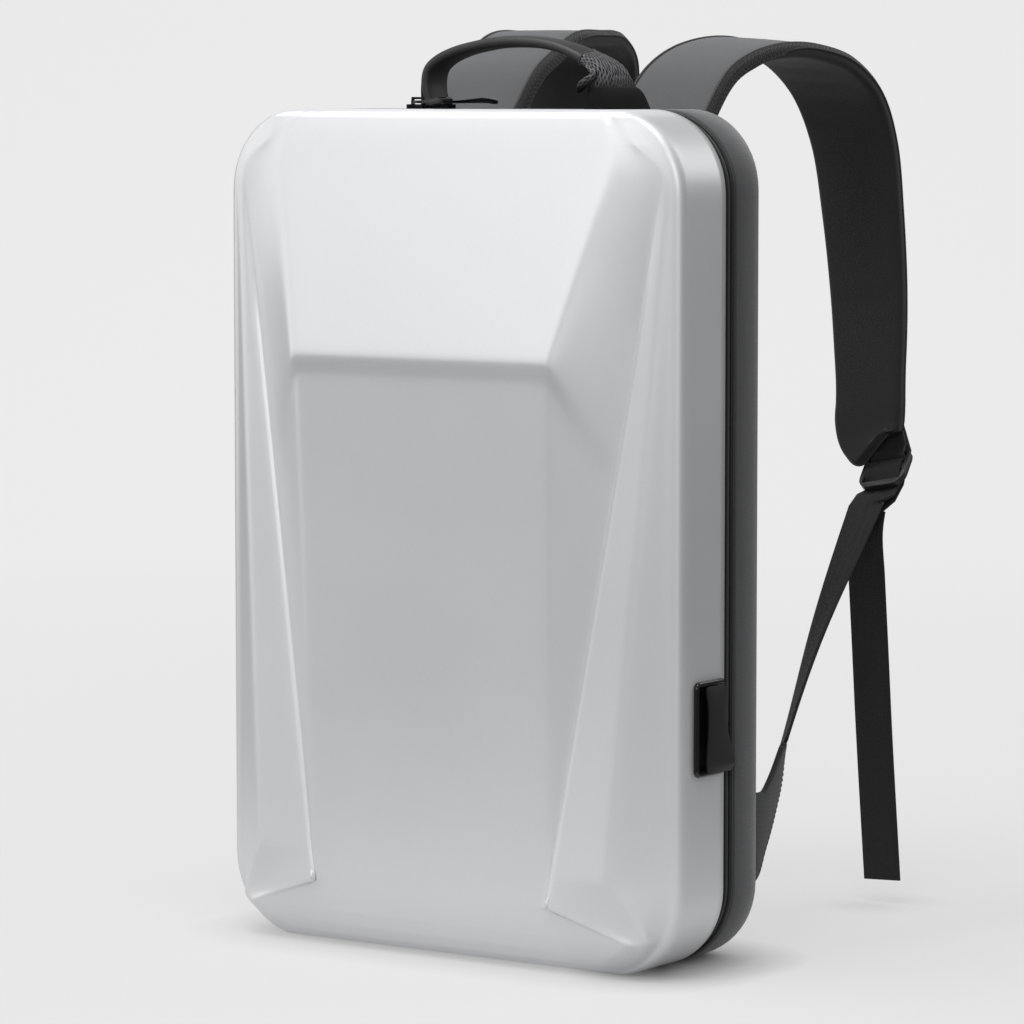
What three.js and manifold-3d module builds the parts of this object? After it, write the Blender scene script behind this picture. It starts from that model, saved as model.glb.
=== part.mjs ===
// Laptop backpack with a hard faceted front shell and a soft padded back, in millimetres.
// X runs to the right seen from the front, Y to the back, Z up. The origin is on the floor,
// in the middle of the shell's flat underside.
import * as THREE from 'three';
import { mergeVertices } from 'three/addons/utils/BufferGeometryUtils.js';
import Module from 'manifold-3d';

const wasm = await Module();
wasm.setup();

// Whole bag
const HALF_WIDTH = 150;
const HEIGHT = 460;
const CORNER_R = 45;            // outline corners seen from the front
const ARC_STEPS = 7;            // facets of an outline corner
const GAP = 0.3;                // between pieces that touch on the real bag
const OVERCUT = 20;             // how far a hollow runs past its open mouth
const PLATE_ARC_STEPS = 4;      // facets of a small plate's corner

// Front shell
const FRONT_Y = -24;            // plane of the shell's front rim
const SHELL_BACK_Y = 18;
const SHELL_WALL = 2.5;
const RIM_FILLET = 6;           // rounding between the front and the sides
const RIM_TURNS = [0, 35, 65, 90];   // degrees along that rounding where it has an edge
const CREASE_APART = 1.4;       // least distance between two creases of the front
const RIM_OUT = 0.6;            // how far the front stands out next to that rounding
const FIN_STEP = 3;             // drop from a fin's inner edge to the valley beside it
const FIN_STEP_RUN = 1.6;       // how wide that drop is
const FIN_TOP_Z = 428;
const FIN_FOOT_APART = 0.6;     // least distance from the panel's edge to the foot of that drop
const FIN_RISE = { top: 60, tip: 12, below: 2 };   // heights over which that drop fades out at a fin's ends
const PLAIN_SIDE = [            // front beside the panel without a fin: share of its width and of its fall
  { across: 0.55, fall: 0.3 },
  { across: 0.76, fall: 0.55 },
  { across: 0.9, fall: 0.8 },
];

// Centre panel, one row for each crease from the floor up. zMid is the height on the centre line,
// zSide the height at the fins, half the panel's half width, out how far it stands out.
const PANEL = [
  { zMid: 0, zSide: 0, half: 84, out: -4 },
  { zMid: 2, zSide: 2, half: 83, out: 4 },
  { zMid: 6, zSide: 6, half: 82, out: 9.5 },
  { zMid: 12, zSide: 12, half: 81, out: 13.5 },
  { zMid: 20, zSide: 20, half: 80, out: 16 },
  { zMid: 28, zSide: 28, half: 79, out: 17.4 },
  { zMid: 36, zSide: 36, half: 76.4, out: 18.2 },
  { zMid: 53, zSide: 53, half: 79.5, out: 19 },
  { zMid: 90, zSide: 90, half: 80.5, out: 20.2 },
  { zMid: 160, zSide: 150, half: 81, out: 22.4 },
  { zMid: 240, zSide: 215, half: 81.5, out: 24.6 },
  { zMid: 317, zSide: 262, half: 82.9, out: 26 },
  { zMid: 327, zSide: 274, half: 84.9, out: 30 },
  { zMid: 368, zSide: 345, half: 94.8, out: 21.2 },
  { zMid: 410, zSide: 405, half: 104.7, out: 12.2 },
  { zMid: 430, zSide: 428, half: 109.5, out: 7.8 },
  { zMid: 442, zSide: 441, half: 107, out: 5.2 },
  { zMid: 450, zSide: 450, half: 104, out: 3.2 },
  { zMid: 456, zSide: 456, half: 100, out: 0.8 },
  { zMid: 458.6, zSide: 458.6, half: 97, out: -1.8 },
  { zMid: 460, zSide: 460, half: 93, out: -6 },
];

// Corners of the right fin, a raised blade that widens downwards
const FIN_CREST_TOP = { x: 141.4, out: 2.2, z: FIN_TOP_Z };
const FIN_CREST_TIP = { x: 78, out: 21.6, z: 36 };
const FIN_SHOULDER_TOP = { x: 143.6, out: 1.2, z: FIN_TOP_Z };
const FIN_SHOULDER_BEND = { x: 115, out: 21.2, z: 53 };
const FIN_CORNER = { x: 138, out: 8, z: 20 };
const FIN_CHIN = { x: 126, out: 14, z: 20 };

// Zip band between the halves
const ZIP_TAPE_INSET = 2.2;
const ZIP_TAPE_THICK = 2;
const ZIP_TAPE_WIDE = 7.6;
const ZIP_COIL_WIDE = 4.6;
const ZIP_COIL_THICK = 1.1;
const ZIP_Y = SHELL_BACK_Y + GAP + ZIP_TAPE_WIDE / 2;
const PIPING_WIDE = 2.6;
const PIPING_INSET = 0.3;
const PIPING_THICK = 3.2;
const PIPING_Y = SHELL_BACK_Y + 2 * GAP + ZIP_TAPE_WIDE;

// Fabric back
const TRAY_FRONT_Y = PIPING_Y + PIPING_WIDE + GAP;
const TRAY_BACK_Y = 72;
const TRAY_WALL = 3;
const TRAY_BACK_WALL = 8;       // padded back
const TRAY_SIDE_R = 36;         // rounding of the back's side edges
const TRAY_END_R = 12;          // rounding of its top and bottom edges
const TRAY_ROUND_STEPS = 6;
const TRAY_CORNER_SHARE = 0.4;  // how much of the side rounding the outline corners lose

// Carry handle
const HANDLE_Y = 46.6;
const HANDLE_THICK = 5.6;
const HANDLE_CHAMFER = 1.8;
const HANDLE_LINE = [           // leather grip from its left foot to its right end: centre line, width
  { x: -57.8, z: 461.2, wide: 19 },
  { x: -59.6, z: 467, wide: 20 },
  { x: -60.6, z: 475, wide: 21 },
  { x: -58.8, z: 481.8, wide: 21 },
  { x: -53, z: 486.8, wide: 20.5 },
  { x: -41.5, z: 491.5, wide: 20 },
  { x: -29.5, z: 494.2, wide: 20 },
  { x: -15, z: 496.3, wide: 20 },
  { x: 0, z: 496.8, wide: 20 },
  { x: 15, z: 495.9, wide: 20 },
  { x: 29, z: 493.2, wide: 21 },
  { x: 38, z: 490.2, wide: 22 },
  { x: 45, z: 487.2, wide: 23 },
];
const GUSSET_CHAMFER = 0.7;
const GUSSET_LINES = {          // mesh gussets at the handle's ends: centre line, width, thickness
  right: [
    { x: 45.5, z: 487, wide: 23.6, thick: 5.8 },
    { x: 52.5, z: 483.8, wide: 25, thick: 5.2 },
    { x: 56.4, z: 480.2, wide: 27, thick: 6.5 },
    { x: 56.7, z: 476.5, wide: 29, thick: 12.6 },
    { x: 56.4, z: 470.5, wide: 31, thick: 22 },
    { x: 58.8, z: 462, wide: 32, thick: 29 },
    { x: 59, z: 458, wide: 32, thick: 30 },
  ],
  left: [
    { x: -57, z: 488.2, wide: 17, thick: 1.6 },
    { x: -62, z: 484.5, wide: 19, thick: 2 },
    { x: -64.7, z: 475.5, wide: 20, thick: 2.2 },
    { x: -63.8, z: 467, wide: 19, thick: 2.4 },
    { x: -61.6, z: 458, wide: 18, thick: 2.6 },
  ],
};

// Zip sliders and pull tabs on the top run
const SLIDER_X = { left: -54, right: -36 };
const SLIDER_LONG = 11;
const SLIDER_WIDE = 7;
const SLIDER_BODY = 3;
const BRIDGE_LONG = 8;
const BRIDGE_WIDE = 2;
const BRIDGE_HIGH = 4;
const BRIDGE_BAR = 1.3;
const BRIDGE_ROOT = 1;          // how deep the bridge is set into the slider
const TAB_YAW = { left: -24, right: 0 };   // degrees, the left tab lies past the right slider
const TAB_WIDE = 7.8;
const TAB_THICK = 1.6;
const TAB_EYE = { half: 2.8, reach: 6.4, end: 1.4 };
const TAB_PLAY = 0.5;           // between a lying tab and its slider
const TAB_TUCK = 0.02;          // how much smaller the plate is than the frame it runs into
const TAB_LAP = 1.2;            // how far the plate runs into that frame
const TAB_LINE = [              // plate of a pull tab from its bar: distance, rise, width, thickness
  { s: 6.2, rise: 0, wide: 7, thick: 1.6 },
  { s: 11, rise: 0, wide: 6.2, thick: 1.6 },
  { s: 17, rise: 0.3, wide: 5.8, thick: 2 },
  { s: 23, rise: 0.6, wide: 6.2, thick: 2.6 },
  { s: 28, rise: 0.9, wide: 6.8, thick: 3 },
  { s: 32, rise: 0.6, wide: 6.2, thick: 2.8 },
  { s: 34.5, rise: -0.4, wide: 4.4, thick: 1.6 },
];

// Port on the right side
const PORT = { y: 2.6, z: 136, wide: 29, high: 46, corner: 4, thick: 2.2 };
const PORT_POCKET = { margin: 2.4, deep: 1.2, corner: 3 };
const COVER_THICK = 1.6;
const COVER_ROWS = [            // rubber cover, bottom to top: height, both edges, their lift, bow between
  { z: 115, front: -4.6, rear: 14.5, liftFront: 0.2, liftRear: 2.2, bow: 0.3 },
  { z: 119, front: -5.2, rear: 17, liftFront: 0.3, liftRear: 3.4, bow: 0.8 },
  { z: 125, front: -5, rear: 16, liftFront: 0.4, liftRear: 2.4, bow: 1.2 },
  { z: 135, front: -4.2, rear: 13.6, liftFront: 0.6, liftRear: 0.9, bow: 1.4 },
  { z: 146, front: -4.2, rear: 13.6, liftFront: 0.5, liftRear: 0.4, bow: 1.3 },
  { z: 153, front: -5.4, rear: 14.6, liftFront: 0.2, liftRear: 0.2, bow: 0.8 },
  { z: 156, front: -4.4, rear: 12.6, liftFront: 0.1, liftRear: 0.1, bow: 0.3 },
];
const COVER_STEPS = 4;

// Padded shoulder straps: both edges of the right one from the back panel over to its lower end
const STRAP_THICK = 8;
const STRAP_CHAMFER = 2.4;
const STRAP_EDGES = [
  { inX: 35, outX: 95, y: 76.6, inZ: 404, outZ: 404 },
  { inX: 35, outX: 95, y: 77, inZ: 422, outZ: 422 },
  { inX: 34.5, outX: 94.5, y: 83, inZ: 441, outZ: 441 },
  { inX: 34, outX: 94, y: 97, inZ: 461, outZ: 461 },
  { inX: 35, outX: 95, y: 114, inZ: 478, outZ: 478 },
  { inX: 37, outX: 97.5, y: 135, inZ: 490, outZ: 490 },
  { inX: 41, outX: 101, y: 162, inZ: 497.5, outZ: 497.5 },
  { inX: 45.5, outX: 104.5, y: 190, inZ: 497.5, outZ: 497.5 },
  { inX: 49.5, outX: 108.5, y: 217, inZ: 488, outZ: 488 },
  { inX: 54, outX: 112, y: 240, inZ: 468, outZ: 468 },
  { inX: 58.5, outX: 113.5, y: 254, inZ: 440, outZ: 440 },
  { inX: 62.5, outX: 114.5, y: 261, inZ: 400, outZ: 400 },
  { inX: 67.5, outX: 116, y: 263, inZ: 352, outZ: 352 },
  { inX: 72, outX: 117.2, y: 260, inZ: 310, outZ: 314 },
  { inX: 74.5, outX: 117.6, y: 258, inZ: 280, outZ: 296 },
  { inX: 76, outX: 117.4, y: 257.4, inZ: 264.5, outZ: 288 },
  { inX: 80.8, outX: 116.4, y: 257.2, inZ: 255.6, outZ: 282.5 },
  { inX: 89, outX: 113.5, y: 257, inZ: 252.4, outZ: 276.6 },
];
const LEFT_SUMMIT = {           // rows of that table where the left strap is bent more sharply: depth, height
  6: { y: 162, z: 499 },
  7: { y: 192, z: 501.4 },
  8: { y: 219, z: 498.6 },
  9: { y: 238.4, z: 488 },
  10: { y: 248.6, z: 464 },
};
const STRAP_CURVE_STEPS = 34;
const FACING_THICK = 1.2;
const FACING_MARGIN = 9;        // black edging left beside the grey face
const FACING_SPAN = { from: 4, to: 27 };    // steps of the strap that it covers

// Ladder lock under the strap, loop and webbing
const LOCK_AT = new THREE.Vector3(107, 258.7, 252.4);
const LOCK_BAR_TILT = 10.4;     // degrees, outer end up
const LOCK_DOWN = new THREE.Vector3(0.127, -0.711, -0.692);
const LOCK = { wide: 30, high: 28, thick: 4, corner: 8, slotWide: 25.4 };
const LOCK_SLOTS = [{ from: 1.5, to: 10 }, { from: -10, to: -3 }];
const LOCK_LEAD = { flat: 1, free: 8, aside: -4 };   // below the lock: webbing still flat, bent, tail's shift
const WEB_WIDE = 24;
const WEB_THICK = 1.6;
const WRAP_R = LOCK.thick / 2 + GAP + WEB_THICK / 2;
const WRAP_STEPS = 6;
const LOOP_WIDE = 22;
const LOOP_OVER = 1;            // how far the loop's legs run straight past the lock
const LOOP_END = { z: 284, y: 263.6, apart: 2.2 };   // where the legs end behind the strap
const TAIL_LINE = [             // free tail of the right webbing, down to its end
  { x: 102.4, y: 243, z: 215 },
  { x: 102.8, y: 245, z: 190 },
  { x: 103.6, y: 247.4, z: 155 },
  { x: 104.8, y: 251, z: 100 },
  { x: 108.3, y: 255.5, z: 13.8 },
];
const ANCHOR_STEPS = 14;
const ANCHOR_TWIST = 2.6;       // the webbing twists mostly near the lock
const TAIL_STEPS = 10;
const GUSSET_TIP = new THREE.Vector3(125, 103, 103);
const GUSSET_TIP_WIDTH = new THREE.Vector3(0.65, -0.46, 0.59);
const ANCHOR_SAG = { at: 0.5, y: -10, z: -4 };
const TAB_BASE = { x: 138, y: 60, low: 32, high: 92 };
const TAB_SHEET = 3;
const TAB_BEND = 0.55;          // where along it the corner tab is bent

const COLOURS = {
  silver: 0xb9babc, black: 0x1b1b1c, fabric: 0x3a3b3d, grey: 0x77797b,
  webbing: 0x242425, metal: 0x2c2d2f, rubber: 0x202021,
};

const group = new THREE.Group();
const lerp = THREE.MathUtils.lerp;
const radians = THREE.MathUtils.degToRad;
const vec = (x, y, z) => new THREE.Vector3(x, y, z);

// Plain triangle list from three.js indices and positions, turned outward
function bodyFrom(points, triangles) {
  const solid = new THREE.BufferGeometry();
  solid.setAttribute('position', new THREE.Float32BufferAttribute(points.flatMap((p) => [p.x, p.y, p.z]), 3));
  let volume = 0;
  for (const [a, b, c] of triangles) {
    volume += points[a].dot(vec().crossVectors(points[b], points[c]));
  }
  solid.setIndex(triangles.flatMap(([a, b, c]) => (volume < 0 ? [a, c, b] : [a, b, c])));
  return solid;
}

// Closed body through loops that have the same number of points, each end closed from its middle
function loft(rings) {
  const count = rings[0].length;
  const points = rings.flat();
  const triangles = [];
  for (let r = 0; r + 1 < rings.length; r += 1) {
    for (let i = 0; i < count; i += 1) {
      const a = r * count + i;
      const b = r * count + ((i + 1) % count);
      triangles.push([a, b, b + count], [a, b + count, a + count]);
    }
  }
  for (const start of [0, (rings.length - 1) * count]) {
    const ring = points.slice(start, start + count);
    const middle = points.push(ring.reduce((sum, p) => sum.add(p), vec()).divideScalar(count)) - 1;
    ring.forEach((_, i) => {
      const a = start + i;
      const b = start + ((i + 1) % count);
      triangles.push(start === 0 ? [b, a, middle] : [a, b, middle]);
    });
  }
  return bodyFrom(points, triangles);
}

function toManifold(geometry) {
  const bare = new THREE.BufferGeometry();
  bare.setAttribute('position', geometry.getAttribute('position').clone());
  if (geometry.index) bare.setIndex(geometry.index.clone());
  const welded = mergeVertices(bare, 1e-4);
  return new wasm.Manifold(new wasm.Mesh({
    numProp: 3,
    vertProperties: new Float32Array(welded.getAttribute('position').array),
    triVerts: new Uint32Array(welded.index.array),
  }));
}

function fromManifold(manifold) {
  const mesh = manifold.getMesh();
  const solid = new THREE.BufferGeometry();
  solid.setAttribute('position', new THREE.Float32BufferAttribute(Array.from(mesh.vertProperties), 3));
  solid.setIndex(Array.from(mesh.triVerts));
  return solid;
}

const cut = (body, ...tools) => fromManifold(
  tools.reduce((left, tool) => left.subtract(toManifold(tool)), toManifold(body)));
const join = (body, ...others) => fromManifold(
  others.reduce((sum, other) => sum.add(toManifold(other)), toManifold(body)));

function block(x0, x1, y0, y1, z0, z1) {
  return new THREE.BoxGeometry(x1 - x0, y1 - y0, z1 - z0)
    .translate((x0 + x1) / 2, (y0 + y1) / 2, (z0 + z1) / 2);
}

function addPiece(name, geometry, colour, metalness = 0, roughness = 0.7) {
  const material = new THREE.MeshStandardMaterial({ color: colour, metalness, roughness });
  const mesh = new THREE.Mesh(geometry, material);
  mesh.name = name;
  group.add(mesh);
}

// Mirror image of a body in the plane between left and right
function mirrored(geometry) {
  const other = geometry.clone();
  other.applyMatrix4(new THREE.Matrix4().makeScale(-1, 1, 1));
  const index = Array.from(other.index.array);
  for (let i = 0; i < index.length; i += 3) [index[i + 1], index[i + 2]] = [index[i + 2], index[i + 1]];
  other.setIndex(index);
  return other;
}

function addPair(name, rightGeometry, colour, metalness, roughness) {
  addPiece(`${name}_right`, rightGeometry, colour, metalness, roughness);
  addPiece(`${name}_left`, mirrored(rightGeometry), colour, metalness, roughness);
}

// Rounded outline of the bag seen from the front, as points in X and Z
function outline(half, bottom, top, radius, steps = ARC_STEPS) {
  const corners = [
    { x: half - radius, z: top - radius, from: 0 },
    { x: -half + radius, z: top - radius, from: 90 },
    { x: -half + radius, z: bottom + radius, from: 180 },
    { x: half - radius, z: bottom + radius, from: 270 },
  ];
  return corners.flatMap(({ x, z, from }) => Array.from({ length: steps + 1 }, (_, i) => {
    const angle = radians(from + (90 * i) / steps);
    return { x: x + radius * Math.cos(angle), z: z + radius * Math.sin(angle) };
  }));
}

const insetOutline = (inset) => outline(
  HALF_WIDTH - inset, inset, HEIGHT - inset, CORNER_R - inset);

// Band of an even thickness that follows the bag's outline
function outlineBand(inset, thick, y, wide) {
  const toPath = (points) => points.map((p) => new THREE.Vector2(p.x, p.z));
  const shape = new THREE.Shape(toPath(insetOutline(inset)));
  shape.holes.push(new THREE.Path(toPath(insetOutline(inset + thick))));
  const band = new THREE.ExtrudeGeometry(shape, { depth: wide, bevelEnabled: false });
  return band.rotateX(Math.PI / 2).translate(0, y + wide, 0);
}

// Half width of the outline at a height
function rimHalf(z, half, height, radius) {
  const fromEnd = Math.min(z, height - z);
  if (fromEnd >= radius) return half;
  return half - radius + Math.sqrt(Math.max(0, radius ** 2 - (radius - fromEnd) ** 2));
}

// Point on a straight crease of a fin at a height
function onCrease(from, to, z) {
  const t = (z - from.z) / (to.z - from.z);
  return { x: lerp(from.x, to.x, t), out: lerp(from.out, to.out, t) };
}

function finCrest(z) {
  if (z >= FIN_CREST_TIP.z) return onCrease(FIN_CREST_TOP, FIN_CREST_TIP, z);
  return onCrease(FIN_CREST_TIP, FIN_CHIN, Math.max(z, FIN_CHIN.z));
}

function finShoulder(z) {
  if (z >= FIN_SHOULDER_BEND.z) return onCrease(FIN_SHOULDER_TOP, FIN_SHOULDER_BEND, z);
  return onCrease(FIN_SHOULDER_BEND, FIN_CORNER, Math.max(z, FIN_CORNER.z));
}

// Right half of one section through the shell's outside, from the centre line to the back rim
function shellHalf({ zMid, zSide, half, out }) {
  const rim = rimHalf(zSide, HALF_WIDTH, HEIGHT, CORNER_R);
  const edge = rim - RIM_FILLET;
  const lip = Math.min(out, RIM_OUT);
  const crest = finCrest(zSide);
  const shoulder = finShoulder(zSide);
  const onFin = zSide >= FIN_CHIN.z && zSide <= FIN_TOP_Z;
  const columns = [{ x: half, out }];
  if (onFin) {
    const foot = Math.max(half + FIN_FOOT_APART, crest.x - FIN_STEP_RUN);
    const drop = FIN_STEP * Math.min(1, (FIN_TOP_Z - zSide) / FIN_RISE.top,
      (zSide - FIN_CHIN.z + FIN_RISE.below) / FIN_RISE.tip);
    columns.push({ x: foot, out: crest.out - drop }, crest, shoulder);
  } else {
    const toChin = zSide < FIN_CHIN.z ? (zSide / FIN_CHIN.z) ** 2 : 0;
    PLAIN_SIDE.forEach(({ across, fall }, i) => {
      const fin = [{ x: crest.x - FIN_STEP_RUN, out: crest.out }, crest, shoulder][i];
      columns.push({
        x: lerp(lerp(half, edge, across), fin.x, toChin),
        out: lerp(lerp(out, lip, fall), fin.out, toChin),
      });
    });
  }
  const points = columns.map(({ x, out: stand }, i) => {
    const limit = edge - (columns.length - i) * CREASE_APART;
    return vec(Math.min(x, limit), FRONT_Y - stand, i === 0 ? zMid : zSide);
  });
  const round = (turn) => vec(
    edge + RIM_FILLET * Math.sin(radians(turn)),
    FRONT_Y - lip + RIM_FILLET * (1 - Math.cos(radians(turn))), zSide);
  return [vec(0, FRONT_Y - out, zMid), ...points, ...RIM_TURNS.map(round)];
}

// Closed body of the shell's outside, or of its hollow when a wall is given
function shellBody(wall, backY) {
  const narrow = 1 - wall / HALF_WIDTH;
  const low = 1 - (2 * wall) / HEIGHT;
  const shrink = (p) => vec(p.x * narrow, p.y + wall, wall + p.z * low);
  return loft(PANEL.map((row) => {
    const half = shellHalf(row).map(shrink);
    const end = half[half.length - 1];
    const right = [...half.slice(1), vec(end.x, backY, end.z)];
    const left = right.map((p) => vec(-p.x, p.y, p.z)).reverse();
    return [half[0], ...right, ...left];
  }));
}

// Closed body of the fabric tray's outside, or of its hollow
function trayBody(inset, frontY, backY) {
  const rings = [];
  const ringAt = (y, side, end) => {
    const half = HALF_WIDTH - inset - side;
    const radius = CORNER_R - inset - TRAY_CORNER_SHARE * side;
    rings.push(outline(half, inset + end, HEIGHT - inset - end, radius).map((p) => vec(p.x, y, p.z)));
  };
  const roundAt = (radius, y) => {
    const into = Math.max(0, y - (backY - radius));
    return radius - Math.sqrt(Math.max(0, radius ** 2 - into ** 2));
  };
  const sideR = TRAY_SIDE_R - inset;
  const endR = TRAY_END_R - inset;
  ringAt(frontY, 0, 0);
  for (let i = 0; i <= TRAY_ROUND_STEPS; i += 1) {
    const y = backY - sideR * (1 - Math.sin((Math.PI / 2) * (i / TRAY_ROUND_STEPS)));
    ringAt(y, roundAt(sideR, y), roundAt(endR, y));
  }
  return loft(rings);
}

// Cross section of a padded or flat strip between its two edges
function stripRing(inner, outer, along, thick, chamfer) {
  const across = outer.clone().sub(inner);
  const wide = across.length();
  across.normalize();
  const normal = vec().crossVectors(along, across).normalize();
  const corner = (a, n) => inner.clone().addScaledVector(across, a).addScaledVector(normal, n);
  const h = thick / 2;
  if (!chamfer) return [corner(0, -h), corner(wide, -h), corner(wide, h), corner(0, h)];
  return [
    corner(chamfer, -h), corner(wide - chamfer, -h), corner(wide, -h + chamfer), corner(wide, h - chamfer),
    corner(wide - chamfer, h), corner(chamfer, h), corner(0, h - chamfer), corner(0, -h + chamfer),
  ];
}

// Strip between two edge lines, given as equally long lists of points
function stripBody(inners, outers, thick, chamfer = 0) {
  const middle = inners.map((p, i) => p.clone().add(outers[i]).multiplyScalar(0.5));
  const rings = middle.map((_, i) => {
    const before = middle[Math.max(0, i - 1)];
    const after = middle[Math.min(middle.length - 1, i + 1)];
    const along = after.clone().sub(before).normalize();
    const size = Array.isArray(thick) ? thick[i] : thick;
    return stripRing(inners[i], outers[i], along, size, chamfer);
  });
  return loft(rings);
}

// Strip of a given width along a line, with the direction of its width at each point
function ribbon(line, widths, directions, thick, chamfer = 0) {
  const edge = (sign) => line.map((p, i) => {
    const before = line[Math.max(0, i - 1)];
    const after = line[Math.min(line.length - 1, i + 1)];
    const along = after.clone().sub(before).normalize();
    const across = directions[i].clone().addScaledVector(along, -directions[i].dot(along)).normalize();
    return p.clone().addScaledVector(across, (sign * widths[i]) / 2);
  });
  return stripBody(edge(-1), edge(1), thick, chamfer);
}

const smoothCurve = (points) => new THREE.CatmullRomCurve3(points, false, 'centripetal');
const smoothLine = (points, steps) => smoothCurve(points).getSpacedPoints(steps);

// Front shell
addPiece('front_shell', cut(shellBody(0, SHELL_BACK_Y), shellBody(SHELL_WALL, SHELL_BACK_Y + OVERCUT)),
  COLOURS.silver, 0.2, 0.4);

// Zip band and piping
const tapeY = SHELL_BACK_Y + GAP;
addPiece('zip_tape', outlineBand(ZIP_TAPE_INSET, ZIP_TAPE_THICK, tapeY, ZIP_TAPE_WIDE), COLOURS.black);
addPiece('zip_coil', outlineBand(ZIP_TAPE_INSET - GAP - ZIP_COIL_THICK, ZIP_COIL_THICK,
  ZIP_Y - ZIP_COIL_WIDE / 2, ZIP_COIL_WIDE), COLOURS.black, 0, 0.5);
addPiece('back_piping', outlineBand(PIPING_INSET, PIPING_THICK, PIPING_Y, PIPING_WIDE), COLOURS.black);

// Fabric back
addPiece('back_panel', cut(trayBody(0, TRAY_FRONT_Y, TRAY_BACK_Y),
  trayBody(TRAY_WALL, TRAY_FRONT_Y - OVERCUT, TRAY_BACK_Y - TRAY_BACK_WALL)), COLOURS.fabric, 0, 0.9);

// Carry handle
const depthDirection = (list) => list.map(() => vec(0, 1, 0));
const gripBody = (grow) => ribbon(
  HANDLE_LINE.map((p) => vec(p.x, HANDLE_Y, p.z)),
  HANDLE_LINE.map((p) => p.wide + 2 * grow),
  depthDirection(HANDLE_LINE),
  HANDLE_THICK + 2 * grow,
  HANDLE_CHAMFER,
);
addPiece('handle_grip', gripBody(0), COLOURS.black, 0, 0.4);
for (const [side, line] of Object.entries(GUSSET_LINES)) {
  const gusset = ribbon(line.map((p) => vec(p.x, HANDLE_Y, p.z)), line.map((p) => p.wide),
    depthDirection(line), line.map((p) => p.thick), GUSSET_CHAMFER);
  const free = cut(gusset, gripBody(GAP), trayBody(-GAP, TRAY_FRONT_Y, TRAY_BACK_Y + GAP));
  addPiece(`handle_gusset_${side}`, free, COLOURS.webbing, 0, 0.9);
}

// Zip sliders and their pull tabs
const coilTop = HEIGHT - ZIP_TAPE_INSET + GAP + ZIP_COIL_THICK;
const sliderZ = coilTop + GAP;
const barZ = sliderZ + SLIDER_BODY + TAB_PLAY + TAB_THICK / 2;
function sliderBody(x) {
  const bodyTop = sliderZ + SLIDER_BODY;
  const around = (long, wide, bottom, top) => block(
    x - long / 2, x + long / 2, ZIP_Y - wide / 2, ZIP_Y + wide / 2, bottom, top);
  const body = around(SLIDER_LONG, SLIDER_WIDE, sliderZ, bodyTop);
  const bridge = around(BRIDGE_LONG, BRIDGE_WIDE, bodyTop - BRIDGE_ROOT, bodyTop + BRIDGE_HIGH);
  const tunnelTop = bodyTop + BRIDGE_HIGH - BRIDGE_BAR;
  const tunnel = around(BRIDGE_LONG - 2 * BRIDGE_BAR, 2 * BRIDGE_WIDE, bodyTop, tunnelTop);
  return cut(join(body, bridge), tunnel);
}
function tabBody(x, yaw) {
  const half = TAB_THICK / 2;
  const side = TAB_WIDE / 2;
  const frame = cut(block(-half, TAB_EYE.reach + TAB_EYE.end, -side, side, -half, half),
    block(half, TAB_EYE.reach, -TAB_EYE.half, TAB_EYE.half, -TAB_THICK, TAB_THICK));
  const line = TAB_LINE.map((p) => vec(p.s, 0, p.rise));
  const widths = TAB_LINE.map((p) => p.wide - TAB_TUCK);
  const plate = ribbon(line, widths, depthDirection(line), TAB_LINE.map((p) => p.thick - TAB_TUCK));
  const lapEnd = TAB_EYE.reach + TAB_EYE.end - TAB_LAP;
  const tab = join(frame, cut(plate, block(-side, lapEnd, -side, side, -TAB_WIDE, TAB_WIDE)));
  return tab.rotateZ(radians(yaw)).translate(x, ZIP_Y, barZ);
}
for (const side of ['left', 'right']) {
  addPiece(`zip_slider_${side}`, sliderBody(SLIDER_X[side]), COLOURS.metal, 0.7, 0.35);
  addPiece(`zip_pull_${side}`, tabBody(SLIDER_X[side], TAB_YAW[side]), COLOURS.metal, 0.7, 0.35);
}

// Flat outline of a small plate with round corners
function plateShape(wide, high, corner) {
  const points = outline(wide / 2, -high / 2, high / 2, corner, PLATE_ARC_STEPS);
  return new THREE.Shape(points.map((p) => new THREE.Vector2(p.x, p.z)));
}

// Port frame with its rubber cover
function roundedPlate(wide, high, corner, thick) {
  const shape = plateShape(wide, high, corner);
  const plate = new THREE.ExtrudeGeometry(shape, { depth: thick, bevelEnabled: false });
  return plate.rotateX(Math.PI / 2).rotateZ(Math.PI / 2);
}
const portBase = HALF_WIDTH + GAP;
const pocket = roundedPlate(PORT.wide - 2 * PORT_POCKET.margin, PORT.high - 2 * PORT_POCKET.margin,
  PORT_POCKET.corner, PORT.thick).translate(PORT.thick - PORT_POCKET.deep, 0, 0);
addPiece('usb_frame', cut(roundedPlate(PORT.wide, PORT.high, PORT.corner, PORT.thick), pocket)
  .translate(portBase, PORT.y, PORT.z), COLOURS.black, 0, 0.3);
const coverBase = portBase + PORT.thick + GAP;
addPiece('usb_cover', loft(COVER_ROWS.map((row) => {
  const lift = (t) => lerp(row.liftFront, row.liftRear, t) + row.bow * 4 * t * (1 - t);
  const at = (t, extra) => vec(coverBase + lift(t) + extra, lerp(row.front, row.rear, t), row.z);
  const steps = Array.from({ length: COVER_STEPS + 1 }, (_, i) => i / COVER_STEPS);
  return [...steps.map((t) => at(t, 0)), ...steps.reverse().map((t) => at(t, COVER_THICK))];
})), COLOURS.rubber, 0, 0.6);

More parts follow.
